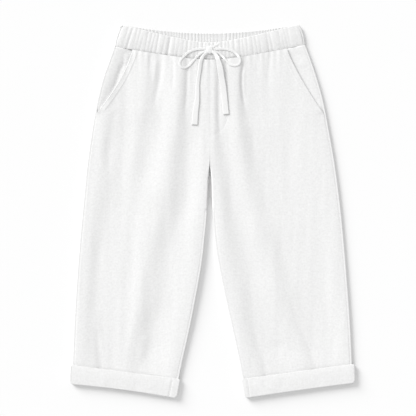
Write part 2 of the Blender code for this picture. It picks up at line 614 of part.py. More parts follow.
def gather(share, count, height):
    """Height of the gathers: round crests with narrow grooves between them."""
    strength = 0.65 + 0.35 * math.sin(29.5 * share + 2.0)
    ends = ease(share / PLAIN_END) * ease((1 - share) / PLAIN_END)
    return height * strength * ends * abs(math.sin(math.pi * gather_phase(share, count))) ** 0.7


def band_point(share, low, top, seam, up, start=0.0):
    """A point of the waistband: share 0 is the wearer's right side, and low 0 its top edge and 1 its seam."""
    side = "right" if share < 0.5 else "left"
    s = abs(2 * share - 1)
    out = s * mix(top[side].side_out, seam[side].side_out, low)
    down = mix(line_down(top[side], s * top[side].side_out), line_down(seam[side], s * seam[side].side_out), low)
    corner = BAND_CORNER - (1 - s) * seam[side].side_out
    if corner > 0:  # the rounded top corner
        drop = BAND_CORNER - math.sqrt(max(BAND_CORNER**2 - corner**2, 0))
        down = max(down, line_down(top[side], out) + drop)
    return (SIGN[side] * out, down - start, up)


FRONT_BAND_LOWS = [0.0, 0.3, 0.7, 1.0]
BACK_BAND_LOWS = [0.0, 0.45, 1.0]
BAND_MIDDLE = 388.0  # width of the front waistband at its middle


def front_gathers(share, low):
    """How deep the grooves between the front waistband's round gathers go."""
    total = 0.0
    for groove in FRONT_GROOVES:
        away = ((share - 0.5) * BAND_MIDDLE - groove.across) / (GROOVE_REACH + 0.8 * groove.depth)
        total -= groove.depth * mix(groove.above, groove.below, ease(low)) / (1 + away**2)
    return total


def front_band_height(share, low):
    swell = BAND_SWELL * math.sin(math.pi * min(max(low, 0), 1)) + BAND_TIP * (0.5 - low)
    sides = ease(2 * min(share, 1 - share) / 0.05)
    plain = ease(share / PLAIN_END) * ease((1 - share) / PLAIN_END)
    return BAND_EDGE + swell * sides + (BAND_CREST + front_gathers(share, low)) * plain


def waistband_front(finish):
    inset = (SIDE_WRAP + GAP) / (2 * FRONT_SEAM["right"].side_out)
    places = [groove.across for groove in FRONT_GROOVES]
    places += [(a + b) / 2 for a, b in zip(places, places[1:])]
    shares = [inset] + [0.5 + place / BAND_MIDDLE for place in sorted(places)] + [1 - inset]
    outer, inner = [], []
    for low in FRONT_BAND_LOWS:
        start = GAP / 2 if low == 1.0 else 0.0
        outer.append([band_point(s, low, FRONT_TOP, FRONT_SEAM, front_band_height(s, low), start) for s in shares])
        inner.append([(x, down, BAND_EDGE - BAND_WALL - 0.3) for x, down, _ in outer[-1]])
    return sheet("waistband_front", outer, inner, finish)


def waistband_back(finish):
    """The back of the waistband, whose ends turn up to meet the front at the sides."""
    radius = BAND_EDGE / 2
    shares = [s for s in gather_shares(BACK_GATHERS, 3) if 0.024 < s < 0.976]
    outer, inner = [], []
    for low in BACK_BAND_LOWS:
        start = GAP / 2 if low == 1.0 else 0.0
        ends = {}
        for side in SIGN:
            wide = mix(BACK_TOP[side].side_out, BACK_SEAM[side].side_out, low)
            row = []
            for station in CURL_SHARES:
                reach, climb, angle = curl(station * curl_length(radius, SIDE_WRAP), 1.0, radius, SIDE_WRAP)
                place = (wide - radius + reach) / (2 * wide)
                share = 0.5 + SIGN[side] * place
                face = band_point(share, low, BACK_TOP, BACK_SEAM, climb, start)
                place -= BACK_BAND_WALL * math.sin(angle) / (2 * wide)
                share = 0.5 + SIGN[side] * place
                lining = band_point(share, low, BACK_TOP, BACK_SEAM, climb + BACK_BAND_WALL * math.cos(angle), start)
                row.append((face, (lining[0], face[1], lining[2])))
            ends[side] = row
        face = [p for p, _ in ends["right"]]
        lining = [p for _, p in ends["right"]]
        for s in shares:
            up = BACK_BAND_WALL + gather(s, BACK_GATHERS, BACK_GATHER_HEIGHT)
            x, down, _ = band_point(s, low, BACK_TOP, BACK_SEAM, 0.0, start)
            face.append((x, down, 0.0))
            lining.append((x, down, up))
        face += [p for p, _ in ends["left"][::-1]]
        lining += [p for _, p in ends["left"][::-1]]
        outer.append(face)
        inner.append(lining)
    return sheet("waistband_back", outer, inner, finish)


# ---- Cuffs ----

CUFF_FLAT = 9
CUFF_ARC = 5


def cuff_loop(side, v, inset):
    """A loop round the cuff at a section, `inset` inside its outer face."""
    inner, _, outer, _ = edges(side, v, FRONT_SEAM)
    low = inner - CUFF_PROUD["inner"] + CUFF_HALF
    high = outer + CUFF_PROUD["outer"] - CUFF_HALF
    radius = CUFF_HALF - inset
    points = [(mix(low, high, i / CUFF_FLAT), CUFF_HALF - radius) for i in range(CUFF_FLAT + 1)]
    for i in range(1, CUFF_ARC):
        angle = math.pi * i / CUFF_ARC
        points.append((high + radius * math.sin(angle), CUFF_HALF - radius * math.cos(angle)))
    points += [(mix(high, low, i / CUFF_FLAT), CUFF_HALF + radius) for i in range(CUFF_FLAT + 1)]
    for i in range(1, CUFF_ARC):
        angle = math.pi * i / CUFF_ARC
        points.append((low - radius * math.sin(angle), CUFF_HALF + radius * math.cos(angle)))
    return [(SIGN[side] * out, section_down(side, v, out), up) for out, up in points]


def cuff(side, finish):
    """A turned-up cuff round the leg's end: the wall outside, and the fold that closes over the leg's edge."""
    path = [(CUFF_TOP, CUFF_WALL), (CUFF_TOP, 0.6), (CUFF_TOP + 0.0012, 0.0), (0.97, 0.0), (0.9965, 0.0)]
    path += [(0.9995, 1.0), (0.9995, CUFF_LIP - 0.6), (0.9975, CUFF_LIP), (0.9915, CUFF_LIP), (0.989, CUFF_WALL)]
    return ring(f"cuff_{side}", [cuff_loop(side, v, inset) for v, inset in path], finish)


# ---- Drawstring ----


def ground(across, down):
    """Height of the garment's upper face at a place."""
    side = "right" if across < 0 else "left"
    out = abs(across)
    seam, top = line_down(FRONT_SEAM[side], out), line_down(FRONT_TOP[side], out)
    if down < top - 0.5:
        return BACK_BAND_WALL + BACK_GATHER_HEIGHT
    if down <= seam:
        low = (down - top) / (seam - top)
        share = 0.5 + 0.5 * across / mix(FRONT_TOP[side].side_out, FRONT_SEAM[side].side_out, low)
        return front_band_height(share, low)
    v = 0.05
    for _ in range(20):
        v += (down - section_down(side, v, out)) / 710
        v = min(max(v, 0.0), 1.0)
    return front_height(side, v, max(out, front_limits(side, v)[0]))


def ground_under(across, down, reach):
    """The highest cloth within a tape's reach of a place."""
    steps = (-1, -0.5, 0, 0.5, 1)
    return max(ground(across + reach * i, down + reach * j * 0.5) for i in steps for j in steps)


def spread(rows, step):
    """The rows of a tape again, a step apart on a smooth curve through them."""
    along = [0.0]
    for a, b in zip(rows, rows[1:]):
        along.append(along[-1] + math.hypot(b.across - a.across, b.down - a.down))
    Station = namedtuple("Station", ("along",) + Tape._fields)
    table = [Station(s, *row) for s, row in zip(along, rows)]
    count = max(2, round(along[-1] / step))
    stations = [along[-1] * i / count for i in range(count + 1)]
    return [Tape(*(smooth(table, field, s) for field in Tape._fields)) for s in stations]


def tape(name, rows, finish, thick=TAPE):
    """A flat tape along its table of stations."""
    rows = spread(rows, TAPE_STEP)
    centres = []
    for row in rows:
        sine, cosine = math.sin(math.radians(row.lean)), abs(math.cos(math.radians(row.lean)))
        floor = ground_under(row.across, row.down, cosine * row.width / 2 + sine * thick / 2)
        centres.append(Vector((row.across, row.down, floor + row.lift + sine * row.width / 2 + cosine * thick / 2)))
    sections = []
    for i, row in enumerate(rows):
        tangent = centres[min(i + 1, len(rows) - 1)] - centres[max(i - 1, 0)]
        tangent.normalize()
        level = Vector((-tangent.y, tangent.x, 0)).normalized()
        upright = level.cross(tangent).normalized()
        if upright.z < 0:
            upright.negate()
        angle = math.radians(row.lean)
        wide = (level * math.cos(angle) + upright * math.sin(angle)) * row.width / 2
        deep = tangent.cross(wide).normalized() * thick / 2
        c = centres[i]
        corner = 1 - 0.5 * thick / row.width
        sections.append([
            c + wide * corner + deep, c + wide, c + wide * corner - deep,
            c - wide * corner - deep, c - wide, c - wide * corner + deep,
        ])
    return bar(name, sections, finish)


def knot(finish):
    """The knot: a fat, slightly squared bead with a waist where the tape is wound round it."""
    across, down = KNOT_PLACE
    half_across, half_along, half_up = KNOT_HALF
    middle = ground_under(across, down, half_along) + KNOT_LIFT + half_up
    mesh = bmesh.new()
    bmesh.ops.create_uvsphere(mesh, u_segments=16, v_segments=10, radius=1)
    for vert in mesh.verts:
        x, y, z = vert.co
        square = [math.copysign(abs(c) ** 0.85, c) for c in (x, y, z)]
        vert.co = world((
            across + half_across * square[0],
            down - half_along * square[1],
            middle + half_up * square[2],
        ))
    return solid("drawstring_knot", mesh, finish)


def main():
    for old in list(bpy.data.objects):
        bpy.data.objects.remove(old)
    linen = material("white_linen", (0.86, 0.86, 0.85), 0.85)
    band = material("white_linen_band", (0.84, 0.84, 0.83), 0.85)
    cord = material("white_cotton_tape", (0.88, 0.88, 0.87), 0.8)
    for side in SIGN:
        front_panel(side, linen)
        back_panel(side, linen)
        hip_piece(side, linen)
        cuff(side, linen)
        tape(f"drawstring_loop_{side}", LOOPS[side], cord)
        tape(f"drawstring_tail_{side}", TAILS[side], cord)
        tape(f"drawstring_feed_{side}", FEEDS[side], cord, thick=1.2)
    waistband_front(band)
    waistband_back(band)
    knot(cord)


main()
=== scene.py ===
"""Looks of the laid pull-on capri trousers: each piece's cloth, its seams and stitches, and the drawstring.

Tables and sizes are in millimetres. `out` is the distance from the centre seam towards a side, `across` the
same with the wearer's left positive, `down` the distance below the top of the waist, and `up` the height over
the surface that the trousers lie on. A leg's section runs across it at a share `v` of its length, 0 at the
waist seam and 1 at the fold of the cuff.
"""

import math
from collections import namedtuple

import bmesh
import bpy
import numpy as np
from mathutils import Matrix, Vector

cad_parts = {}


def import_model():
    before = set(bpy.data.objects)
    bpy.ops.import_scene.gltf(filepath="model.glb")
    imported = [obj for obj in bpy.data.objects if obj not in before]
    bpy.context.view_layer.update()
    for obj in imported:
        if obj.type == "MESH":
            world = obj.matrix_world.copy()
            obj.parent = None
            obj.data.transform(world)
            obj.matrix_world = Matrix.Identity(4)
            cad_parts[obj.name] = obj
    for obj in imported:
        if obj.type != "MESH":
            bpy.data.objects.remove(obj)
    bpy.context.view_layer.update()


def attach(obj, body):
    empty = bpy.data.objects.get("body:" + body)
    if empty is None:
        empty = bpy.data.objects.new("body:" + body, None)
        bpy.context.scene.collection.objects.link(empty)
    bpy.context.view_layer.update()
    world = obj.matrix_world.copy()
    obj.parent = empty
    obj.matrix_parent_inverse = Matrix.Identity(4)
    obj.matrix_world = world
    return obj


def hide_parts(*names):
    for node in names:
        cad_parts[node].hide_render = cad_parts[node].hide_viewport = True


def named(kind, table):
    """A table whose rows, written as plain tuples, become `kind`, so that each column has its name."""
    if isinstance(table, dict):
        return {key: named(kind, part) for key, part in table.items()}
    if isinstance(table[0], tuple):
        return [kind(*row) for row in table]
    return [named(kind, part) for part in table]


MM = 0.001
SIGN = {"right": -1, "left": 1}  # the wearer's right lies on the viewer's left
# Where the middle of the whole outline falls, which is the origin of the part.
MIDDLE_OUT = 5.0
MIDDLE_DOWN = 392.4

# Walls, gaps and heights.
CLOTH = 1.2  # a panel's wall where another lies on it
GAP = 0.3  # between two pieces at a seam
OUTER_RIM = 5.2  # height of a leg where its side seam lies
INNER_RIM = 7.8  # and where its inseam lies
SIDE_WRAP = 4.0  # how far the back panel turns over a leg's outer edge
INSEAM_WRAP = 4.2  # the same at the inseam
CORNER = 0.9  # radius of the two turns in a leg's edges
INNER_ROLL = 2.8  # radius where the front's inner edge turns down below its crotch
CENTRE_DIP = 0.12  # how far the front sinks along the centre seam
CENTRE_DIP_WIDTH = 9.0

# The waist: lines across the garment, from the centre to the side.
Line = namedtuple("Line", "centre_down side_down side_out roundness")
FRONT_TOP = {"right": Line(38.2, 0.8, 185.5, 0.25), "left": Line(38.2, 0.0, 188.5, 0.25)}
FRONT_SEAM = {"right": Line(74.6, 47.0, 200.5, 0.25), "left": Line(74.6, 43.5, 199.5, 0.25)}
BACK_TOP = {"right": Line(18.7, 0.8, 185.5, 1.0), "left": Line(18.7, 0.0, 188.5, 1.0)}
BACK_SEAM = {"right": Line(57.0, 47.0, 200.5, 1.0), "left": Line(57.0, 43.5, 199.5, 1.0)}
HEM = {"right": Line(784.0, 755.0, 0.0, 0.0), "left": Line(784.0, 753.0, 0.0, 0.0)}
STRAIGHT_BY = 0.3  # share of a leg's length where its section lines have become straight

BAND_EDGE = 5.0  # height of the waistband's sides
BAND_EDGE_CORNER = 1.7  # radius of their two turns
BAND_SWELL = 0.8
PLAIN_END = 0.07  # share of the band at each side where the gathers die out
BAND_CORNER = 9.0  # radius of the corner at the top of the waistband's sides
BAND_BULGE = 2.4  # how far the sides of the band curve outwards

# Each leg's outline as it lies, wearer's right and left.
Edge = namedtuple("Edge", "down out")
OUTER_EDGE = named(Edge, {
    "right": [
        (47, 200.5), (75, 210.5), (117, 225.0), (159, 235.5), (201, 243.5), (285, 256.0), (369, 264.5),
        (453, 272.5), (537, 279.0), (621, 284.0), (715, 288.0), (757, 289.5),
    ],
    "left": [
        (43, 199.5), (75, 211.5), (117, 225.5), (159, 237.0), (201, 245.5), (285, 260.5), (369, 272.0),
        (453, 280.5), (537, 287.5), (621, 293.5), (713, 298.0), (755, 299.5),
    ],
})
INNER_EDGE = named(Edge, {
    "right": [
        (250, 0.0), (291, 0.4), (327, 2.9), (369, 4.6), (411, 7.4), (453, 11.6), (495, 16.2), (537, 23.0),
        (579, 30.8), (621, 38.8), (663, 47.9), (705, 57.3), (747, 66.0), (784, 73.0),
    ],
    "left": [
        (250, 0.0), (291, 0.4), (327, 3.2), (369, 4.6), (411, 7.2), (453, 10.8), (495, 16.8), (537, 25.2),
        (579, 34.0), (621, 43.4), (663, 52.7), (705, 61.7), (747, 69.5), (784, 76.5),
    ],
})
FRONT_CROTCH = 293.0  # down; the legs part here in front
BACK_CROTCH = 372.0  # and here behind
# The back's inner edge leaves the centre this far above its crotch, and over this length.
BACK_PARTS_ABOVE = 14.0
BACK_PARTS_LENGTH = 16.0
LEG_LENGTH = 709.4  # from the waist seam to the fold of the cuff
GRAIN_SLANT = 0.11  # how far the threads run outwards for each step down a leg

# The slant pocket: its opening runs from the waist seam to the side seam.
POCKET_TOP_OUT = 161.6
POCKET_TOP = 51.0
POCKET_LIES_IN = {"right": 6.5, "left": 2.0}  # how far each opening is pushed inwards as it lies
POCKET_END = 188.0
POCKET_END_OUT = 238.5
POCKET_BOW = 1.12  # over 1 bows the opening towards the centre
POCKET_LIP = 0.3  # the front panel's edge stands this far over the hip piece's wall
POCKET_BAND = 12.0  # width of the stitched band along the opening
POCKET_BAND_HEIGHT = 0.22
POCKET_BAND_STEP = 1.6  # width of the step at the band's far side
POCKET_CLOSE = 9.0  # how far above its end the opening begins to close
POCKET_CLOSE_LENGTH = 12.0  # and over how far it does
POCKET_STITCHES = (1.6, 10.4)  # how far inside the opening its two rows of stitches run
UNDERLAP = 18.0  # how far the hip piece runs on under the front
HIP_RIDE_END = 24.0  # past the hip piece the front comes down over this
HIP_SINK = {"right": 1.9, "left": 0.7}  # how far the hip piece sinks towards the pocket's mouth
HIP_SINK_WIDE = 32.0  # where it shows this wide it sinks fully
HIP_SINK_LEAST = 0.3  # and where it hardly shows it sinks by this
HIP_SINK_ROUND = 1.4  # over 1 keeps it level near the side seam
HIP_CLOTH = 0.7  # its wall
HIP_END = 0.214  # v
HIP_FALL = 1.4  # how far its end drops away under the front
HIP_FALL_START = 0.176  # v
HIP_FALL_LENGTH = 0.02  # v over which it does
HIP_HIDDEN = 6.0  # its creases die out over this under the front

# The front's ridges and valleys, in order from a leg's outer edge to its inner one. Each is a line down the
# leg, with its height over the straight line between the leg's two rims.
Rise = namedtuple("Rise", "down out height")
FORM = named(Rise, {
    "right": [
        [  # along the side
            (50, 192, 0.3), (120, 208, 0.6), (180, 212, 0.9), (222, 218, 0.8), (264, 232, 0.4),
            (348, 244, 0.5), (474, 256, 0.3), (600, 265, 0.4), (700, 271, 0.4), (750, 274, 0.2),
        ],
        [  # valley beside it
            (50, 168, 0.0), (120, 176, -0.2), (180, 177, -0.5), (222, 179, -1.3), (306, 188, -1.3),
            (348, 200, -1.4), (390, 209, -1.9), (474, 219, -1.7), (558, 223, -1.7), (642, 222, -2.2),
            (709, 211, -2.4), (750, 210, -1.6),
        ],
        [  # short ridge from the waist
            (50, 136, 0.6), (120, 138, 1.2), (180, 142, 1.2), (222, 150, -0.1), (306, 164, -0.6),
            (390, 172, -0.9), (474, 178, -0.8), (600, 190, -0.9), (709, 190, -1.7), (750, 190, -1.4),
        ],
        [  # valley on the outer side of the main ridge
            (50, 112, -0.4), (120, 112, -0.6), (180, 114, -0.7), (222, 118, -1.2), (306, 137, -1.4),
            (348, 148, -0.7), (432, 152, 0.0), (516, 163, -0.4), (600, 172, -0.3), (709, 184, -1.5),
            (750, 186, -1.3),
        ],
        [  # the main ridge, from the waist to the cuff
            (50, 62, 1.4), (120, 64, 2.0), (180, 68, 2.2), (222, 74, 1.7), (306, 89, 1.6), (348, 97, 2.0),
            (390, 105, 1.5), (432, 117, 1.5), (474, 127, 0.9), (558, 147, 0.5), (600, 153, 0.6),
            (642, 163, 0.1), (709, 175, -1.1), (750, 178, -1.0),
        ],
        [  # the valley inside it
            (50, 44, -0.4), (180, 43, -0.8), (222, 41, -1.4), (264, 43, -2.2), (348, 49, -2.2),
            (390, 57, -2.2), (432, 71, -1.7), (474, 83, -1.9), (558, 95, -2.1), (600, 104, -2.7),
            (642, 117, -2.9), (684, 128, -3.1), (709, 141, -2.8), (750, 148, -1.6),
        ],
        [  # along the centre seam and the inseam
            (50, 10, 0.0), (264, 10, 0.0), (348, 13, 0.1), (432, 24, 0.4), (558, 38, 0.4), (642, 53, 0.2),
            (709, 68, 0.2), (750, 76, 0.1),
        ],
    ],
    "left": [
        [  # along the side
            (50, 188, 0.2), (120, 214, 0.3), (180, 226, 0.5), (264, 238, 0.4), (348, 256, 0.1),
            (474, 272, 0.0), (642, 285, 0.2), (700, 283, 0.6), (750, 284, 0.3),
        ],
        [  # the slow slope beside it
            (50, 160, 0.0), (120, 175, -0.4), (180, 180, -0.7), (264, 185, -1.4), (390, 190, -1.8),
            (474, 205, -1.8), (558, 228, -1.9), (642, 250, -1.6), (709, 258, -0.8), (750, 260, -0.7),
        ],
        [  # valley on the outer side of the main ridge
            (50, 76, -1.6), (120, 77, -2.5), (180, 80, -3.0), (222, 90, -2.6), (264, 98, -2.9),
            (306, 107, -3.2), (348, 114, -2.9), (390, 126, -2.7), (432, 143, -2.1), (474, 156, -2.4),
            (516, 172, -2.4), (558, 189, -2.2), (600, 203, -2.4), (642, 214, -2.3), (684, 226, -2.1),
            (709, 230, -1.4), (750, 232, -1.3),
        ],
        [  # the main ridge, from the waist to the cuff
            (50, 58, 0.2), (120, 56, 0.3), (180, 56, 0.3), (222, 60, 0.8), (264, 65, 0.2), (306, 72, -0.4),
            (390, 88, -0.6), (432, 101, 0.0), (474, 114, -0.3), (516, 129, -0.2), (558, 141, 0.2),
            (600, 152, -0.1), (642, 168, -0.5), (684, 190, -0.8), (709, 196, 0.0), (750, 198, 0.0),
        ],
        [  # the valley inside it
            (50, 30, -0.9), (120, 22, -1.2), (180, 20, -1.3), (222, 25, -1.3), (264, 31, -2.0),
            (306, 39, -2.3), (348, 46, -2.6), (390, 54, -2.4), (432, 61, -1.9), (474, 71, -2.0),
            (516, 81, -2.2), (558, 90, -1.9), (642, 111, -2.1), (684, 119, -1.9), (709, 123, -1.3),
            (750, 126, -1.3),
        ],
        [  # along the centre seam and the inseam
            (50, 7, 0.0), (306, 10, 0.1), (348, 16, 0.4), (432, 27, 0.8), (516, 40, 0.6), (600, 58, 0.4),
            (684, 80, 0.8), (709, 90, 0.5), (750, 95, 0.1),
        ],
    ],
})
WAIST_RISE = 1.4  # how much higher the cloth lies at the waist seam
WAIST_RISE_START = 45.0  # down, where that begins to die out
WAIST_RISE_END = 240.0  # down, where it has died out
LINES_APART = 2.5  # least distance between two of the form's lines
TUCKS = 13  # small waves where the waist seam gathers each front
TUCK_HEIGHT = 0.3
TUCK_LENGTH = 24.0
# The faint unevenness of soft cloth laid by hand: waves `size` wide across a leg, which bend to and fro once
# in every `long` down it.
Wave = namedtuple("Wave", "size long height")
WAVES = named(Wave, [(71, 410, 0.13), (43, 330, 0.08), (27, 260, 0.045), (15, 170, 0.018)])

# The cuffs.
CUFF_TOP = 0.943  # v
CUFF_WALL = 1.6
CUFF_HALF = 3.8  # half of a cuff's height
CUFF_PROUD = {"outer": 5.2, "inner": 3.4}
CUFF_LIP = 2.8  # wall at the fold, where the cloth turns up
CUFF_CORNER = 1.1  # radius of the turns at its ends
CUFF_TOP_THIN = 0.5  # how much less than half its wall the radius of its rounded top edge is
CUFF_TOP_SINK = 0.2  # how far that edge lies below its face
CUFF_TOP_SINK_LENGTH = 8.0  # over which that dies out below it
CUFF_TURN_IN = 8.5  # how far above its fold the inside begins
CUFF_SHORT = 0.4  # how much shorter it is than its share of the leg
CUFF_TOP_NIP = 4.0  # radii that round its ends at the top and at the fold
CUFF_FOLD_NIP = 8.0
CUFF_NIP_ABOVE = 0.4  # how far above its top the upper rounding would end
CUFF_BELLY = 0.35  # how far its face swells between them
CUFF_PLAIN = 14.0  # its wrinkles die out over this at its ends
CUFF_PRESS = 0.4  # how far the leg sinks at the cuff's top
CUFF_PRESS_LENGTH = 0.006  # v over which it does
CUFF_SETBACK = {"right": 2.4, "left": 0.8}  # how much higher its front lies than its back
# Each cuff has two rows of stitches: one this far from the leg's inner edge, above and below, and one at its
# outer edge.
CUFF_ROW = {"right": (13.3, 13.3), "left": (8.8, 6.5)}
CUFF_OUTER_ROW = 2.4  # how far outside the leg the second row lies
LEG_END = 0.986  # v
CUFF_LIFT = CUFF_WALL + GAP
CUFF_EDGE = 3.5  # height of the leg's edge inside its cuff
RIM_RAMP = 0.30  # v over which its rims come down to that
CUFF_RAMP = 0.035  # v over which the leg climbs onto the back of its cuff
CUFF_RAMP_REST = 0.003  # v that is left level before the cuff

# The drawstring: a flat tape. `lift` is the clearance of its lower edge over the cloth, and `lean` turns it
# from lying flat (0) to standing on its edge (90). `fold` is how far it is creased lengthwise, 0 to 1.
TAPE = 0.65  # the tape's wall
DOUBLED = 0.5  # its wall in the loops, where it is folded in two lengthwise and pressed flat
Tape = namedtuple("Tape", "across down lift lean width fold", defaults=[0])
LOOPS = named(Tape, {
    "right": [
        (-3.6, 53.0, 0.2, 2, 4.6), (-15.0, 51.6, 0.1, 2, 4.8), (-28.4, 53.1, 0.1, 2, 5.0),
        (-41.6, 57.5, 0.1, 2, 5.0), (-52.1, 65.3, 0.1, 2, 4.8), (-59.9, 74.6, 0.1, 1, 4.4),
        (-63.0, 82.5, 0.1, 1, 4.2), (-60.3, 89.8, 0.1, 0, 4.2), (-53.3, 91.8, 0.1, 0, 4.4),
        (-44.1, 87.6, 0.1, 0, 4.5), (-36.0, 78.5, 0.1, 0, 4.6), (-27.1, 68.4, 0.2, 0, 4.6),
        (-17.9, 60.4, 0.2, 0, 4.6), (-9.6, 56.8, 0.2, 1, 4.4), (-3.6, 56.2, 0.2, 1, 4.2),
    ],
    "left": [
        (3.6, 53.0, 0.2, 178, 4.6), (16.2, 52.3, 0.1, 178, 4.8), (26.7, 51.8, 0.1, 178, 5.0),
        (39.9, 53.6, 0.1, 178, 5.2), (50.4, 58.4, 0.1, 178, 5.2), (59.4, 66.8, 0.1, 179, 4.8),
        (63.4, 75.8, 0.1, 179, 4.4), (60.9, 83.8, 0.1, 180, 4.2), (52.9, 87.2, 0.1, 180, 4.3),
        (43.7, 85.1, 0.1, 180, 4.5), (35.9, 78.5, 0.1, 180, 4.6), (27.9, 69.3, 0.2, 180, 4.6),
        (19.8, 61.6, 0.2, 180, 4.6), (10.9, 57.2, 0.2, 179, 4.4), (3.6, 56.2, 0.2, 179, 4.2),
    ],
})
TAILS = named(Tape, {
    "right": [
        (-4.4, 59.4, 1.1, 6, 5.0, 0.2), (-11.0, 63.4, 1.2, 3, 5.6, 0.3), (-15.9, 70.4, 1.2, 2, 6.4, 0.3),
        (-19.0, 78.8, 1.1, 1, 7.0, 0.3), (-21.2, 95.5, 1, 1, 7.4, 0.3), (-23.8, 112.4, 0.9, 0, 7.4, 0.2),
        (-25.6, 129.0, 0.7, -1, 8.0, 0.1), (-25.9, 146.0, 0.7, -2, 8.8, 0.1), (-26.9, 163.0, 0.6, -2, 10.2),
        (-29.5, 180.0, 0.5, -2, 11.6), (-31.0, 197.0, 0.3, -2, 12.6), (-31.8, 211.5, 0.2, -1, 13.0),
    ],
    "left": [
        (4.4, 57.4, 1.3, 177, 5.6), (9.6, 61.0, 1.6, 177, 6.4), (14.4, 68.0, 2, 177, 7.8),
        (18.2, 78.5, 2.1, 177, 10.0), (21.0, 90.0, 2.1, 177, 12.0), (22.6, 99.0, 2, 177, 12.6),
        (24.6, 112.4, 1.6, 177, 12.6), (27.7, 129.2, 1, 177, 12.6), (29.8, 146.0, 0.5, 177, 12.6),
        (31.5, 162.8, 0.3, 178, 12.6), (33.2, 179.6, 0.3, 178, 12.6), (34.2, 189.4, 0.3, 178, 12.6),
    ],
})
FEEDS = named(Tape, {
    "right": [(-12.6, 43.4, -1, 0, 4.4), (-9.6, 45.4, -0.9, 0, 4.4), (-3.8, 50.0, -0.6, 0, 4.4)],
    "left": [(20.6, 39.8, -0.8, 180, 3.8), (13.0, 44.6, -0.5, 180, 3.8), (3.8, 50.2, -0.3, 180, 4.2)],
})
KNOT_PLACE = (-0.2, 54.0)  # across, down
KNOT_HALF = (6.8, 8.6, 1.1)  # across, along, up
KNOT_LIFT = 0.5
FEED_TAPE = 0.6  # the tape's wall where it comes out of the waistband
TAPE_COLUMNS = 10  # across its width
TAPE_CREASE = 0.76  # share of its width where it is creased
TAPE_SLOPES = (0.26, 0.5)  # of its two faces, left and right of the crease
TAPE_SMOOTHINGS = 8  # how often its climbs are evened out

# ---- The finer form of the cloth, which the solids leave out ----

FINE_CLOTH = 0.9  # wall of a panel as it shows at its edges
SEAM_SINK = 0.3  # how deep the cloth goes down at a sewn seam
SEAM_REACH = 1.1
SEAM_GAP = 0.01  # what is left open between two sewn edges
# Grooves that differ from a plain seam's, as depth and reach.
POCKET_EDGE_GROOVE = (0.08, 0.8)  # the opening's rolled edge
WAIST_GROOVE = (0.12, 2.2)  # the fronts at the waist seam
BAND_GROOVE = (0.4, 2.2)  # the waistband at the same seam
HIP_GROOVE = (0.2, 0.9)  # the hip piece at the side seam
BACK_GROOVE = (0.1, 0.8)  # the back panel at its turned edge
CENTRE_SINK = (0.03, 0.2)  # at the centre seam, and at the inner edge below the crotch
CENTRE_REACH = 0.9
BACK_EDGE_SINK = 0.12  # how far the back's turned edges lie below the front's

# A crease is a soft trough (height below 0) or ridge along a line of (out, down) points, `reach` wide to each
# side, and it fades out over CREASE_FADE of its line at each end.
CREASE_FADE = 0.3
# They also die out over this at a front's outer edge and at its inner one.
CREASE_END_OUTER = 9.0
CREASE_END_INNER = 7.0
Crease = namedtuple("Crease", "height reach line")
FRONT_CREASES = named(Crease, {
    "right": [
        # short tucks that leave the waist seam
        (-0.6, 3.6, [(126, 62), (125.5, 80), (126, 100)]),
        (0.7, 4.5, [(112, 64), (114, 90), (118, 130)]),
        (-0.7, 5.4, [(100, 62), (102, 87), (105, 115), (113, 150), (118, 182)]),
        (-0.5, 3.6, [(77, 64), (77, 112), (80, 142)]),
        (-0.7, 3.8, [(46, 66), (47.5, 112), (49, 146), (52, 180), (54, 205)]),
        # slow hollows further down
        (-0.8, 11, [(196, 120), (204, 200), (218, 330)]),
        (-0.8, 12, [(228, 420), (238, 520), (243, 640)]),
        (-0.7, 12, [(150, 330), (165, 470), (176, 600)]),
        (0.6, 10, [(130, 640), (150, 720)]),
        # short folds that stand on the cuff
        (-0.75, 7, [(241, 625), (236, 665), (231, 700), (228, 730), (226, 790)]),
    ],
    "left": [
        (-0.6, 4.0, [(20, 72), (18, 110), (18, 190), (22, 260)]),
        (-0.6, 3.0, [(34, 70), (33, 96)]),
        (-1.7, 3.0, [(70, 62), (69.7, 87), (67, 103), (66.6, 128), (68.7, 150), (75, 182)]),
        (-0.4, 3.6, [(97, 58), (98, 80), (99, 112)]),
        (-0.45, 4.5, [(124, 58), (123, 90), (122, 132)]),
        (-0.3, 10, [(118, 672), (147, 676), (168, 664)]),
        # folds that run down into the cuff
        (-0.55, 7, [(84, 600), (95, 652), (101, 673), (108, 694), (114, 715), (120, 745), (122, 800)]),
        (-0.5, 8, [(160, 545), (184, 622), (197, 652), (214, 694), (221, 715), (226, 745), (229, 800)]),
    ],
})
HIP_CREASES = named(Crease, {
    "right": [
        (0.7, 4.5, [(172, 60), (175, 72), (176, 86)]),
        (-1.0, 4.6, [(183, 56), (180, 81), (187, 94), (200, 132), (214, 158)]),
    ],
    "left": [
        (-0.4, 4.5, [(172, 60), (188, 66), (201, 76)]),
        (0.3, 5.0, [(186, 78), (200, 90)]),
        (0.3, 7.0, [(205, 108), (216, 132), (228, 160)]),
    ],
})
CUFF_CREASES = named(Crease, {
    "right": [
        (-0.7, 1.3, [(76.6, 732), (88.6, 795)]),  # its seam
        (-0.25, 8.0, [(150, 744), (156, 776)]),
        (0.25, 9.0, [(220, 730), (222, 764)]),
    ],
    "left": [
        (-0.7, 1.3, [(76, 731), (85, 795)]),  # its seam
        (-0.3, 5.0, [(88, 742), (94, 756)]),
        (-0.3, 5.0, [(112, 742), (120, 766)]),
        (0.25, 7.0, [(130, 742), (139, 776)]),
        (-0.35, 5.0, [(148, 740), (157, 764)]),
        (-0.25, 7.0, [(228, 730), (232, 762)]),
    ],
})

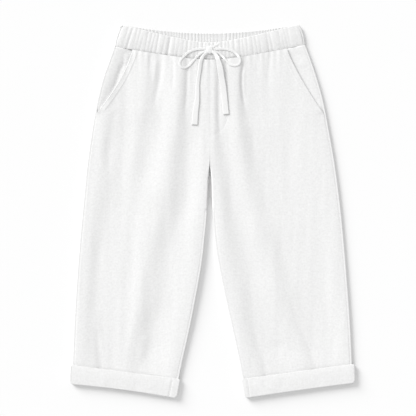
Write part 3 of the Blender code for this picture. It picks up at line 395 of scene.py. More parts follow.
# Grooves between the gathers of the front waistband, at its middle, from the wearer's right to the left.
# `above` and `below` are the shares of the depth that are left at the band's top and at its seam.
Groove = namedtuple("Groove", "across depth above below")
FRONT_GROOVES = named(Groove, [
    (-177, 0.9, 1.0, 0.5), (-168, 1, 0.9, 1.0), (-157, 0.55, 1.0, 0.3), (-150, 0.5, 1.0, 0.4),
    (-142, 0.5, 0.2, 1.0), (-133, 0.8, 1.0, 0.4), (-125, 0.7, 1.0, 0.5), (-118, 0.6, 0.8, 1.0),
    (-110, 0.9, 1.0, 0.8), (-97, 0.6, 0.5, 1.0), (-86, 1.5, 0.95, 1.0), (-74, 0.5, 1.0, 0.6),
    (-66, 0.5, 0.3, 1.0), (-56, 0.5, 1.0, 0.4), (-47, 1, 1.0, 0.6), (-39, 0.6, 0.7, 1.0),
    (-31, 0.85, 0.5, 1.0), (-24, 0.95, 1.0, 0.8), (-15, 0.95, 1.0, 0.6), (-7, 0.85, 0.6, 1.0),
    (1, 0.85, 1.0, 0.7), (9, 0.95, 1.0, 0.5), (18, 0.85, 1.0, 0.8), (27, 1.15, 1.0, 0.6),
    (34, 0.85, 0.7, 1.0), (42, 0.95, 1.0, 0.5), (52, 0.95, 1.0, 0.5), (64, 0.8, 1.0, 0.6),
    (71, 0.8, 1.0, 0.5), (79, 0.7, 1.0, 0.5), (90, 0.7, 0.7, 1.0), (98, 0.7, 1.0, 0.8),
    (106, 0.6, 0.3, 1.0), (122, 0.9, 0.8, 1.0), (129, 0.9, 0.9, 1.0), (147, 0.6, 1.0, 0.6),
    (153, 0.5, 0.4, 1.0), (160, 0.6, 0.4, 1.0), (166, 0.6, 1.0, 0.5), (182, 0.5, 0.4, 1.0),
])
GROOVE_REACH = 2.0
BAND_ROUND = 0.7  # radius of the waistband's top fold
BACK_RUFFLES = 58  # gathers along the back of the band
BACK_RUFFLE_HEIGHT = 0.8
BACK_BAND_RISE = 1.0  # how much higher the back of the band lies at its top edge
BACK_BAND_RISE_REACH = 0.14  # `low` over which that dies out
BACK_PLAIN = 16.0  # its gathers begin over this from its turned ends
BAND_LYING = 400.0  # the waistband's width as it lies
FRONT_BAND_TALL = 36.0
BAND_FACE_TALL = 33.0  # height of its face as it lies
BAND_THIN = 0.35  # share of the front band's wall that is left at its seam
BAND_THIN_FROM = 0.8  # `low`, where it begins to thin
BAND_PUFF = 0.9  # how much higher its gathers lie than its plain ends
BAND_LEVEL = 0.8  # how far its lower corners rise, to lie level with the hip pieces
BACK_BAND_TALL = 38.0
FRONT_BAND_CLOTH = 520.0  # width of the cloth that is gathered into it
BACK_BAND_CLOTH = 560.0
END_SINK = 0.2  # how deep the band goes down at the seams of its ends
WALL_APART = 60.0  # how far apart a wall's two faces lie in the weave, so that their threads differ

FLY_OUT = 37.0  # the mock fly's stitching stands this far from the centre seam
FLY_TOP = 74.0  # down
FLY_TURN = 184.0  # down, where it begins to turn in
FLY_END = 233.0
FLY_SINK = 0.35  # how deep the cloth goes down along it
FLY_REACH = 1.6


def ease(share):
    """0 below 0, 1 above 1 and a smooth step between them."""
    t = np.clip(share, 0.0, 1.0)
    return t * t * (3 - 2 * t)


def mix(a, b, share):
    """A value between two others, by a share."""
    return a + (b - a) * share


def curve(t, width, start, end, start_slope, end_slope):
    """A smooth curve between two heights, with the slope that it has at each of them."""
    bent = width * ((t - 2 * t**2 + t**3) * start_slope + (t**3 - t**2) * end_slope)
    return mix(start, end, t * t * (3 - 2 * t)) + bent


def smooth(rows, column, at):
    """A column's value at stations, on a smooth curve through a table whose first column is the station."""
    stations = np.array([row[0] for row in rows], float)
    values = np.array([getattr(row, column) for row in rows], float)
    last = len(rows) - 1
    low = np.maximum(np.arange(last + 1) - 1, 0)
    high = np.minimum(np.arange(last + 1) + 1, last)
    slopes = (values[high] - values[low]) / (stations[high] - stations[low])
    at = np.clip(at, stations[0], stations[-1])
    i = np.clip(np.searchsorted(stations, at, side="right") - 1, 0, last - 1)
    width = stations[i + 1] - stations[i]
    return curve((at - stations[i]) / width, width, values[i], values[i + 1], slopes[i], slopes[i + 1])


def between(stops, values, at):
    """Straight lines through the values at stops. Each value may itself be an array."""
    total = values[0]
    for k in range(len(stops) - 1):
        share = np.clip((at - stops[k]) / (stops[k + 1] - stops[k]), 0, 1)
        total = np.where(at >= stops[k], mix(values[k], values[k + 1], share), total)
    return total


def nearest(line, out, down):
    """How far places lie from a line of points, and the share of the line at which they are nearest to it."""
    line = np.array(line, float)
    spans = np.hypot(*np.diff(line, axis=0).T)
    before = np.concatenate([[0.0], np.cumsum(spans)])
    away = np.full(np.shape(out), np.inf)
    along = np.zeros(np.shape(out))
    for i, span in enumerate(spans):
        (x, y), (dx, dy) = line[i], (line[i + 1] - line[i]) / span
        t = np.clip((out - x) * dx + (down - y) * dy, 0, span)
        here = np.hypot(out - x - t * dx, down - y - t * dy)
        closer = here < away
        away = np.where(closer, here, away)
        along = np.where(closer, before[i] + t, along)
    return away, along / before[-1]


# ---- The shape of the laid trousers ----


def bend(share, roundness):
    """How far a line has climbed from the centre to the side: straight at roundness 0, with a flat middle
    above it.
    """
    r = np.maximum(roundness, 0.001)
    return np.where(np.asarray(roundness) < 0.001, share, (np.hypot(share, r) - r) / (np.hypot(1, r) - r))


def line_down(line, out):
    """How far down a line across the waist lies, at a distance from the centre."""
    return mix(line.centre_down, line.side_down, bend(out / line.side_out, line.roundness))


def edges(side, v, seam):
    """The inner and outer limits of a leg's outline at a section, with how far down each one lies."""
    inner_down = mix(seam[side].centre_down, HEM[side].centre_down, v)
    outer_down = mix(seam[side].side_down, HEM[side].side_down, v)
    inner = smooth(INNER_EDGE[side], "out", inner_down)
    return inner, inner_down, smooth(OUTER_EDGE[side], "out", outer_down), outer_down


def section_down(side, v, out, seam=FRONT_SEAM):
    """How far down a section lies at a distance from the centre."""
    inner, inner_down, outer, outer_down = edges(side, v, seam)
    share = (out - inner) / (outer - inner)
    return mix(inner_down, outer_down, bend(share, seam[side].roundness * (1 - ease(v / STRAIGHT_BY))))


def section_at(side, out, down):
    """The section v that a place lies on."""
    v = np.full(np.shape(out), 0.1)
    for _ in range(24):
        v = np.clip(v + (down - section_down(side, v, out)) / LEG_LENGTH, 0, 1)
    return v


def slant_out(side, down):
    """The pocket opening's distance from the centre, or far out below the pocket."""
    share = (down - POCKET_TOP) / (POCKET_END - POCKET_TOP)
    bowed = POCKET_LIES_IN[side] * np.sin(math.pi * np.clip(share, 0, 1))
    straight = mix(POCKET_TOP_OUT, POCKET_END_OUT, np.clip(share, 0, 1) ** POCKET_BOW)
    return np.where(share >= 1, 1000.0, straight - bowed)


def parted(down):
    """0 where the two legs are still joined behind and 1 where each one is closed at its inseam."""
    return ease((down - BACK_CROTCH) / 20)


def front_parted(down):
    """The same for the fronts, whose inner edges are closed against the back panels below their crotch."""
    return ease((down - FRONT_CROTCH - 2) / 34)


def lift(v):
    """How high a leg's underside lies, which climbs onto the back of the cuff."""
    return CUFF_LIFT * ease((v - CUFF_TOP + CUFF_RAMP) / (CUFF_RAMP - CUFF_RAMP_REST))


def rim_height(v, rim=OUTER_RIM):
    """Height of a leg's rim over the surface that the leg itself lies on."""
    return mix(rim, CUFF_EDGE + CUFF_LIFT, ease((v - CUFF_TOP + RIM_RAMP) / RIM_RAMP)) - lift(v)


def rim_between(side, v, out):
    """The straight line across a leg between its two rims."""
    inner, _, outer, _ = edges(side, v, FRONT_SEAM)
    share = np.clip((out - inner) / (outer - inner), 0, 1)
    return lift(v) + mix(rim_height(v, INNER_RIM), rim_height(v), share)


def curl(past, height, corner=CORNER):
    """A turned-up edge: its reach, its climb and its angle at a distance past its last flat point."""
    quarter, wall = math.pi / 2 * corner, height - 2 * corner
    angle = (np.clip(past, 0, quarter) + np.clip(past - quarter - wall, 0, quarter)) / corner
    over = np.maximum(past - 2 * quarter - wall, 0)
    reach = np.where(past <= 0, past, corner * np.sin(angle) - over)
    return reach, corner * (1 - np.cos(angle)) + np.clip(past - quarter, 0, wall), angle


def turned_length(height, wrap, corner=CORNER):
    """How much cloth a turned-up edge takes, up to `wrap` inside the outline on top."""
    return (math.pi - 3) * corner + height + wrap


def inseam(v, inner_down):
    """Where a leg's sewn inner edge lies: how far inside the outline, and its height."""
    height = rim_height(v, INNER_RIM)
    length = parted(inner_down) * turned_length(height, INSEAM_WRAP)
    reach, climb, _ = curl(length, height)
    return CORNER * np.sin(np.minimum(length / CORNER, math.pi / 2)) - reach, climb


def front_limits(side, v):
    """The front panel's own inner and outer edges at a section, and where its side seam would be."""
    inner, inner_down, outer, _ = edges(side, v, FRONT_SEAM)
    inner = np.maximum(inner, SEAM_GAP) + inseam(v, inner_down)[0] + SEAM_GAP
    seam = outer - SIDE_WRAP - SEAM_GAP
    out = seam
    for _ in range(12):
        out = np.minimum(seam, slant_out(side, section_down(side, v, out)))
    return inner, out, seam


def across_lines(outs, heights, out):
    """A smooth profile through places in order from the outer edge inwards, level at crests and valleys."""
    for k in range(1, len(outs)):
        outs[k] = np.minimum(outs[k], outs[k - 1] - LINES_APART)
    rises = [(heights[k + 1] - heights[k]) / (outs[k + 1] - outs[k]) for k in range(len(outs) - 1)]
    slopes = [rises[0]]
    for before, after in zip(rises, rises[1:]):
        both = before * after
        slopes.append(np.where(both > 0, 2 * both / np.where(both > 0, before + after, 1.0), 0.0))
    slopes.append(rises[-1])
    total = np.zeros(np.shape(out))
    for k in range(len(outs) - 1):
        width = outs[k + 1] - outs[k]
        t = (out - outs[k]) / width
        height = curve(t, width, heights[k], heights[k + 1], slopes[k], slopes[k + 1])
        total = np.where((t >= 0) & (t <= 1), height, total)
    return total


def form_height(side, v, down, out):
    """The height of the ridges and valleys over the straight line between a leg's two rims."""
    inner, _, outer, _ = edges(side, v, FRONT_SEAM)
    lines = FORM[side]
    zero = np.zeros(np.shape(down))
    outs = [outer + zero] + [smooth(line, "out", down) for line in lines] + [inner + zero]
    heights = [zero] + [smooth(line, "height", down) for line in lines] + [zero]
    return across_lines(outs, heights, out)


def crease_height(creases, out, down):
    """The sum of a table's creases at places."""
    total = np.zeros(np.shape(out))
    for crease in creases:
        away, share = nearest(crease.line, out, down)
        fade = ease(share / CREASE_FADE) * ease((1 - share) / CREASE_FADE)
        total += crease.height * fade * np.exp(-((away / crease.reach) ** 2))
    return total


def tuck_height(side, down, out):
    """Small waves that leave the waist seam and die out below it."""
    below = np.maximum(0.0, down - line_down(FRONT_SEAM[side], out))
    share = out / FRONT_SEAM[side].side_out
    phase = TUCKS * share + 0.45 * np.sin(9.1 * share + SIGN[side])
    return TUCK_HEIGHT * np.exp(-below / TUCK_LENGTH) * np.cos(2 * math.pi * phase) * ease((1 - share) / 0.12)


def waver(out, down, seed):
    """The height of the waves that the cloth keeps from being laid by hand."""
    total = 0.0
    for i, wave in enumerate(WAVES):
        for turn in (-0.4, 0.1, 0.5):
            phase = seed * 7.3 + i * 2.1 + turn * 5
            bent = 0.18 * np.sin(2 * math.pi * down / wave.long + phase) + 0.1 * turn * down / wave.size
            across = (1 + 0.3 * turn) * out / wave.size
            total = total + wave.height * np.sin(2 * math.pi * (across + bent) + phase)
    return total * 0.6


def front_height(side, v, out):
    """Height of a front panel's outer face, with the form that its solid has."""
    inner, outer, seam = front_limits(side, v)
    down = section_down(side, v, out)
    closed = front_parted(down)
    dip = CENTRE_DIP * (1 - ease((out - inner) / CENTRE_DIP_WIDTH)) * (1 - closed)
    inside = ease((outer - out) / CREASE_END_OUTER) * ease((out - inner) / CREASE_END_INNER)
    loose = crease_height(FRONT_CREASES[side], out, down) + waver(out, down, 1.0 + SIGN[side])
    folds = form_height(side, v, down, out) + loose * inside
    folds = folds + WAIST_RISE * ease((WAIST_RISE_END - down) / (WAIST_RISE_END - WAIST_RISE_START))
    height = rim_between(side, v, out) + folds + tuck_height(side, down, out) - dip
    # Below its crotch the front's inner edge comes down to the inseam or to the back panel.
    rolled = 1 - np.sqrt(1 - np.clip(1 - (out - inner) / INNER_ROLL, 0, 1) ** 2)
    edge_height = np.maximum(inseam(v, edges(side, v, FRONT_SEAM)[1])[1], 2 * CLOTH + 2 * GAP)
    height = mix(height, edge_height + lift(v), closed * rolled)
    # Along the pocket the panel's edge rides on the hip piece.
    away = outer - out
    above_end = 1 - ease((section_down(side, v, outer) - POCKET_END + POCKET_CLOSE) / POCKET_CLOSE_LENGTH)
    on_hip = above_end * (1 - ease((away - UNDERLAP) / HIP_RIDE_END))
    height = np.maximum(height, mix(height, hip_height(side, v, out) + CLOTH + POCKET_LIP, on_hip))
    step = ease((POCKET_BAND + POCKET_BAND_STEP / 2 - away) / POCKET_BAND_STEP)
    band = ease(away / 1.2 + 0.35) * step
    return height + np.where(seam - outer > 0.5, POCKET_BAND_HEIGHT * band, 0.0)


def hip_height(side, v, out):
    """Height of the hip piece's outer face, which sinks from the side seam to the pocket's mouth."""
    _, outer, seam = front_limits(side, v)
    wide = seam - outer
    sink = HIP_SINK_LEAST + HIP_SINK[side] * ease(wide / HIP_SINK_WIDE)
    return OUTER_RIM - sink * ease((seam - out) / np.maximum(wide, 8.0)) ** HIP_SINK_ROUND


def seam_groove(away, depth=SEAM_SINK, reach=SEAM_REACH):
    """How far a sewn line draws the cloth in, at a distance from it."""
    return depth * np.exp(-((away / reach) ** 2))


def front_face(side, v, out):
    """Height of a front panel with its seams and rolled edges sunk in."""
    inner, outer, _ = front_limits(side, v)
    down = section_down(side, v, out)
    closed = front_parted(down)
    sewn_side = ease((POCKET_END + 6 - section_down(side, v, outer)) / -12)
    below = np.maximum(down - line_down(FRONT_SEAM[side], out), 0)
    sunk = seam_groove(outer - out) * sewn_side
    sunk = sunk + seam_groove(outer - out, *POCKET_EDGE_GROOVE) * (1 - sewn_side)
    sunk = sunk + seam_groove(out - inner, mix(*CENTRE_SINK, closed), CENTRE_REACH)
    sunk = sunk + seam_groove(below, *WAIST_GROOVE)
    sunk = sunk + CUFF_PRESS * ease((v - CUFF_TOP + CUFF_PRESS_LENGTH) / CUFF_PRESS_LENGTH)
    if side == "left":
        sunk = sunk + seam_groove(nearest(fly_line(), out, down)[0], FLY_SINK, FLY_REACH)
    return front_height(side, v, out) - sunk


def fly_line():
    """The mock fly's stitching: straight down from the waist seam, then round to the centre seam."""
    angles = np.linspace(0, 1.5, 24)
    turn = [(FLY_OUT * math.cos(a), mix(FLY_TURN, FLY_END, math.sin(a))) for a in angles]
    return [(FLY_OUT - 0.6, FLY_TOP)] + turn


# ---- Meshes ----


def world(across, down, up):
    """Places in the scene, in metres."""
    places = ((across - MIDDLE_OUT) * MM, (MIDDLE_DOWN - down) * MM, up * MM)
    return np.stack(np.broadcast_arrays(*places), axis=-1)


def cloth(name, columns, rows, place, finish, faces_up=None):
    """A grid of cloth. `place` gives (across, down, up, along, over) for shares of the grid, and the last two
    are places on the flat cloth, for its weave. A sheet says which way it faces. Without that, the grid is a
    whole wall, which is closed where it meets itself and filled at its ends.
    """
    mesh = bmesh.new()
    bmesh.ops.create_grid(mesh, x_segments=columns, y_segments=rows, size=1)
    shares = np.array([vert.co[:2] for vert in mesh.verts]) * 0.5 + 0.5
    across, down, up, along, over = place(shares[:, 0], shares[:, 1])
    flat = np.stack(np.broadcast_arrays(along * MM, over * MM), axis=-1)
    weave = mesh.loops.layers.uv.new("cloth")
    mesh.verts.index_update()
    for face in mesh.faces:
        for loop in face.loops:
            loop[weave].uv = flat[loop.vert.index]
    for vert, point in zip(mesh.verts, world(across, down, up)):
        vert.co = point
    mesh.normal_update()
    if faces_up is None:
        bmesh.ops.remove_doubles(mesh, verts=mesh.verts, dist=1e-6)
        bmesh.ops.holes_fill(mesh, edges=[edge for edge in mesh.edges if edge.is_boundary], sides=0)
        bmesh.ops.recalc_face_normals(mesh, faces=mesh.faces)
    elif (sum(face.normal.z * face.calc_area() for face in mesh.faces) > 0) != faces_up:
        bmesh.ops.reverse_faces(mesh, faces=mesh.faces)
    return piece(name, mesh, finish)


def piece(name, mesh, finish):
    """Puts a finished bmesh in the scene as one named object on the trousers' body."""
    data = bpy.data.meshes.new(name)
    mesh.to_mesh(data)
    mesh.free()
    data.materials.append(finish)
    data.shade_smooth()
    made = bpy.data.objects.new(name, data)
    bpy.context.scene.collection.objects.link(made)
    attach(made, "root")
    return made


def tight(share, count, length):
    """Shares of a grid's side of a length, with its first and last rows pulled in close to the edges."""
    close = EDGE_ROW / length
    step = 1 / count
    inside = mix(close, 1 - close, (share - step) / (1 - 2 * step))
    return np.where(share < step / 2, 0.0, np.where(share > 1 - step / 2, 1.0, inside))


def thicken(made, wall, offset=-1.0):
    """Gives a sheet its wall: below its face, or on both sides of it where the offset is 0."""
    wall_maker = made.modifiers.new("wall", "SOLIDIFY")
    wall_maker.thickness = wall * MM
    wall_maker.offset = offset
    wall_maker.use_rim = True
    return made


# ---- Legs ----

FINE_STEP = 2.5  # size of the grid of a front panel, which shows
COARSE_STEP = 4.0  # and of a back panel
FRONT_WIDE = 260  # widths that these grids are counted for
BACK_WIDE = 290
HIP_WIDE = 50
HIP_GRID = (30, 66)  # columns and rows
EDGE_ROW = 0.12  # width of a grid's last row along an edge, which keeps the edge crisp


def front_panel(side, finish):
    """A front panel, from the centre seam and inseam to the side seam, with the pocket's slant cut away."""
    fine = 14  # columns over the pocket's stitched band
    turned = 6  # columns where the inner edge turns down below the crotch

    def place(u, w):
        v = LEG_END * tight(w, rows, LEG_LENGTH)
        low, high, _ = front_limits(side, v)
        wide = high - low
        marks = [0, 1 / columns, fine / columns, 1 - turned / columns, 1 - 1 / columns, 1]
        spans = [0, EDGE_ROW, POCKET_BAND + 2, wide - INNER_ROLL, wide - EDGE_ROW, wide]
        out = high - between(marks, spans, u)
        down = section_down(side, v, out)
        return SIGN[side] * out, down, front_face(side, v, out), out - GRAIN_SLANT * down, down

    columns = fine + turned + round(FRONT_WIDE / FINE_STEP)
    rows = round(LEG_LENGTH / FINE_STEP)
    made = cloth(f"cloth_front_{side}", columns, rows, place, finish, faces_up=True)
    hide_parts(f"front_{side}")
    return thicken(made, FINE_CLOTH)


TURN_MARKS = [0, 1, 4, 9, 13, 18, 19]  # columns of the back's grid at the bends of a turned edge


def turn_spans(height, wrap):
    """How much cloth lies between a turned edge and each of its bends."""
    quarter, wall = math.pi / 2 * CORNER, height - 2 * CORNER
    top = wrap - CORNER
    bottom = top + quarter + wall + quarter
    return [0.0, EDGE_ROW, top, top + quarter, top + quarter + wall, bottom, bottom + 1.0]


def across_turns(column, columns, total, outer_height, inner_height):
    """How far round a back panel its columns lie from its outer edge: close together where the edges turn."""
    outer, inner = turn_spans(outer_height, SIDE_WRAP), turn_spans(inner_height, INSEAM_WRAP)
    stops = TURN_MARKS + [columns - mark for mark in reversed(TURN_MARKS)]
    return between(stops, outer + [total - span for span in reversed(inner)], column)


def back_panel(side, finish):
    """A flat panel that turns up at the side seam, and at the inseam below the crotch."""

    def place(u, w):
        v = LEG_END * tight(w, rows, LEG_LENGTH)
        low, low_down, high, _ = edges(side, v, BACK_SEAM)
        leaves = ease((low_down - BACK_CROTCH + BACK_PARTS_ABOVE) / BACK_PARTS_LENGTH)
        low = np.maximum(low * leaves, GAP / 2)
        outer_height, inner_height = rim_height(v), rim_height(v, INNER_RIM)
        outer_turn = turned_length(outer_height, SIDE_WRAP)
        inner_turn = parted(low_down) * turned_length(inner_height, INSEAM_WRAP)
        low_centre = low + CORNER * np.sin(np.minimum(inner_turn / CORNER, math.pi / 2))
        flat = high - CORNER - low_centre
        total = outer_turn + flat + inner_turn
        along = across_turns(u * columns, columns, total, outer_height, inner_height)
        outer_reach, outer_climb, _ = curl(outer_turn - along, outer_height)
        inner_reach, inner_climb, _ = curl(along - outer_turn - flat, inner_height)
        on_outer = along < outer_turn + flat / 2
        out = np.where(on_outer, high - CORNER + outer_reach, low_centre - inner_reach)
        climb = np.where(on_outer, outer_climb, inner_climb)
        down = section_down(side, v, out, BACK_SEAM)
        crumple = np.abs(waver(out, down, 5.0 + SIGN[side])) * ease((12 - climb * 8) / 12)
        inner_share = (inner_turn - (total - along)) / np.maximum(inner_turn, 0.1)
        sunk = (BACK_EDGE_SINK + seam_groove(along, *BACK_GROOVE)) * ease((outer_turn - along) / outer_turn)
        sunk = sunk + BACK_EDGE_SINK * ease(inner_share) * parted(low_down)
        up = lift(v) + climb + crumple - sunk
        return SIGN[side] * out, down, up, high - along - GRAIN_SLANT * down, down

    columns = 2 * TURN_MARKS[-1] + round(BACK_WIDE / COARSE_STEP)
    rows = round(LEG_LENGTH / COARSE_STEP)
    made = cloth(f"cloth_back_{side}", columns, rows, place, finish, faces_up=False)
    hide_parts(f"back_{side}")
    return thicken(made, FINE_CLOTH)


def hip_piece(side, finish):
    """The piece that shows between the pocket's opening and the side seam, and runs on under the front."""

    def place(u, w):
        v = HIP_END * w
        u = tight(u, columns, HIP_WIDE)
        _, mouth, seam = front_limits(side, v)
        out = mix(seam, mouth - UNDERLAP, u)
        down = section_down(side, v, out)
        seen = ease((out - mouth + HIP_HIDDEN) / HIP_HIDDEN)
        up = hip_height(side, v, out) + crease_height(HIP_CREASES[side], out, down) * seen
        up = up + 0.5 * waver(out, down, 3.0) * seen - seam_groove(seam - out, *HIP_GROOVE)
        up = up - HIP_FALL * ease((v - HIP_FALL_START) / HIP_FALL_LENGTH)
        return SIGN[side] * out, down, up, out - GRAIN_SLANT * down, down

    columns, rows = HIP_GRID
    made = cloth(f"cloth_pocket_hip_{side}", columns, rows, place, finish, faces_up=True)
    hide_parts(f"pocket_hip_{side}")
    return thicken(made, HIP_CLOTH)


# ---- Waistband ----


def band_point(share, low, top, seam):
    """A place on the waistband: share 0 is the wearer's right side, and low 0 its top edge and 1 its seam."""
    s = np.abs(2 * share - 1)
    places = {}
    for side in SIGN:
        highest = line_down(top[side], s * top[side].side_out)
        lowest = line_down(seam[side], s * seam[side].side_out)
        corner = np.maximum(BAND_CORNER - (1 - s) * seam[side].side_out, 0)
        drop = BAND_CORNER - np.sqrt(np.maximum(BAND_CORNER**2 - corner**2, 0))
        lower = np.maximum(low, drop / (lowest - highest))
        bulge = BAND_BULGE * s**12 * np.sin(math.pi * lower)
        out = s * mix(top[side].side_out, seam[side].side_out, lower) + bulge
        places[side] = (SIGN[side] * out, mix(highest, lowest, lower))
    first = share < 0.5
    return tuple(np.where(first, a, b) for a, b in zip(places["right"], places["left"]))


def band_half(low):
    """Half of the front waistband's width as it lies."""
    return mix(FRONT_TOP["left"].side_out, FRONT_SEAM["left"].side_out, low)


def front_gathers(share, low):
    """Round gathers between the grooves of the front waistband, which fan out with its sides."""
    middle = (share - 0.5) * 2 * band_half(0.5)
    total = 0.0
    for i, groove in enumerate(FRONT_GROOVES):
        lean = 1.6 * math.sin(4.1 * i) * (low - 0.5)
        left = mix(groove.above, groove.below, ease(low))
        away = (middle - groove.across - lean) / (GROOVE_REACH + 0.8 * groove.depth)
        total = total - groove.depth * left / (1 + away**2)
    return total


def front_band_height(share, low):
    """Height of the front waistband's outer face."""
    swell = BAND_SWELL * np.sin(math.pi * np.clip(low, 0.0, 1.0)).clip(0) + 1.0 * (0.5 - low)
    sides = ease(2 * np.minimum(share, 1 - share) / 0.05)
    plain = ease(share / PLAIN_END) * ease((1 - share) / PLAIN_END)
    level = BAND_LEVEL * ease(low) * ease((np.abs(share - 0.5) - 0.40) / 0.09)
    return BAND_EDGE + swell * sides + BAND_PUFF * plain + front_gathers(share, low) * plain + level


# Shares of the way round the waistband's wall: its seam, the outer face's lower and upper ends, the inner
# face's upper and lower ends, and the seam again.
BAND_STOPS = [0.0, 0.04, 0.46, 0.58, 0.96, 1.0]
BAND_COLUMNS = 560  # along the band
FRONT_BAND_ROWS = 64  # round its wall
BACK_BAND_ROWS = 56


def band_section(w, height):
    """Where a share of the way round the waistband's wall lies: its `low`, its rise over the top edge, and
    how far through the wall it is, 0 on the outer face and 1 on the inner. The two meet at the seam.
    """
    _, face, top, inner_top, inner_face, _ = BAND_STOPS
    low = np.interp(w, BAND_STOPS, [1.0, 1.0, 0.0, 0.0, 1.0, 1.0])
    turn = np.clip((w - top) / (inner_top - top), 0, 1) * math.pi
    through = np.where(w > top, (1 - np.cos(turn)) / 2, np.interp(w, [0.0, face], [0.5, 0.0]))
    through = np.where(w > inner_face, np.interp(w, [inner_face, 1.0], [1.0, 0.5]), through)
    return mix(BAND_ROUND / height, 1.0, low), BAND_ROUND * np.sin(turn) * (low < 0.001), through


def band_end_groove(share):
    """How deep the band goes down at a share of its width from the seam at its end."""
    return seam_groove(share * BAND_LYING, END_SINK, 1.0)


def waistband_front(finish):
    """The gathered front of the waistband, between the two side seams."""
    inset = (SIDE_WRAP + SEAM_GAP) / (2 * FRONT_SEAM["right"].side_out)

    def place(u, w):
        share = mix(inset, 1 - inset, u)
        low, rise, through = band_section(w, FRONT_BAND_TALL)
        across, down = band_point(share, low, FRONT_TOP, FRONT_SEAM)
        up = front_band_height(share, low) - seam_groove((1 - low) * BAND_FACE_TALL, *BAND_GROOVE)
        up = up - band_end_groove(u) - band_end_groove(1 - u)
        up = up - 2 * BAND_ROUND * through * mix(1.0, BAND_THIN, ease((low - BAND_THIN_FROM) / 0.2))
        along, over = share * FRONT_BAND_CLOTH, low * FRONT_BAND_TALL + WALL_APART * through
        return across, down - rise, up, along, over

    made = cloth("cloth_waistband_front", BAND_COLUMNS, FRONT_BAND_ROWS, place, finish)
    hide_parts("waistband_front")
    return made


def waistband_back(finish):
    """The back of the waistband, whose ends turn up to meet the front at the sides."""
    corner = BAND_EDGE_CORNER
    turned = turned_length(BAND_EDGE, SIDE_WRAP, corner)

    def place(u, w):
        low, rise, through = band_section(w, BACK_BAND_TALL)
        faces = {}
        for side, way in SIGN.items():
            wide = mix(BACK_TOP[side].side_out, BACK_SEAM[side].side_out, low)
            along = (u if side == "right" else 1 - u) * (2 * wide + 2 * turned - 2 * corner)
            reach, climb, angle = curl(turned - along, BAND_EDGE, corner)
            out = wide - corner + reach
            across, down = band_point(0.5 + way * out / (2 * wide), low, BACK_TOP, BACK_SEAM)
            across = across - way * 2 * BAND_ROUND * through * np.sin(angle)
            faces[side] = (across, down, climb + 2 * BAND_ROUND * through * np.cos(angle), along)
        across, down, up, along = (np.where(u < 0.5, a, b) for a, b in zip(faces["right"], faces["left"]))
        share = 0.5 + across / BAND_LYING
        plain = ease((along - turned) / BACK_PLAIN)
        gathers = BACK_RUFFLE_HEIGHT * back_ruffles(share, low) * plain + back_rise(low)
        up = up + gathers - band_end_groove(u)
        over = low * BACK_BAND_TALL + WALL_APART * through
        return across, down - rise, up, share * BACK_BAND_CLOTH, over

    made = cloth("cloth_waistband_back", BAND_COLUMNS, BACK_BAND_ROWS, place, finish)
    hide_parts("waistband_back")
    return made


def back_rise(low):
    """How much higher the back of the band lies towards its top edge."""
    return BACK_BAND_RISE * np.exp(-low / BACK_BAND_RISE_REACH)


def back_ruffles(share, low):
    """Round crests with narrow grooves between them, unevenly spaced and tall."""
    phase = BACK_RUFFLES * share + 0.5 * np.sin(14.5 * share + 1.0) + 0.25 * np.sin(38.3 * share + 0.4)
    phase = phase + 0.18 * np.sin(23 * share) * low
    strength = 0.62 + 0.25 * np.sin(29.5 * share + 2.0) + 0.13 * np.sin(77 * share)
    return strength * np.abs(np.sin(math.pi * phase)) ** 0.8


# ---- Cuffs ----

CUFF_STEP = 1.5
CUFF_WIDE = 225  # width that its grid is counted for
CUFF_ROWS = 64  # round its wall
# Shares of the way round a cuff's wall where its face ends, its fold ends, its inside turns plain and its top
# edge begins.
FACE_END, FOLD_END, PLAIN_INSIDE, TOP_START = 0.42, 0.6, 0.7, 0.9


def rounded(distance, radius):
    """How far a rounded corner draws a side in, at a distance from the corner's end."""
    left = np.clip(radius - distance, 0, radius)
    return radius - np.sqrt(radius**2 - left**2)


def cuff_wall(w, tall):
    """How far below the cuff's top a share of the way round its wall lies, and how far inside its face."""
    hem, fold = CUFF_WALL / 2, CUFF_LIP / 2
    lip = hem - CUFF_TOP_THIN
    stops = [0.0, FACE_END, FOLD_END, PLAIN_INSIDE, TOP_START]
    straight = np.interp(w, stops, [lip, tall - fold, tall - fold, tall - CUFF_TURN_IN, lip])
    bottom = np.clip((w - FACE_END) / (FOLD_END - FACE_END), 0, 1) * math.pi
    top = np.clip((w - TOP_START) / (1 - TOP_START), 0, 1) * math.pi
    on_face, on_fold, on_step, inside = (w < stop for stop in stops[1:])
    drop = np.select(
        [on_face, on_fold, inside],
        [straight, tall - fold + fold * np.sin(bottom), straight],
        lip - lip * np.sin(top),
    )
    step = ease((w - FOLD_END) / (PLAIN_INSIDE - FOLD_END))
    sunk_top = CUFF_TOP_SINK * (1 - ease((straight - lip) / CUFF_TOP_SINK_LENGTH))
    inset = np.select(
        [on_face, on_fold, on_step, inside],
        [sunk_top, fold * (1 - np.cos(bottom)), mix(2 * fold, 2 * hem, step), np.full(w.shape, 2 * hem)],
        CUFF_TOP_SINK + lip * (1 + np.cos(top)),
    )
    return drop, inset


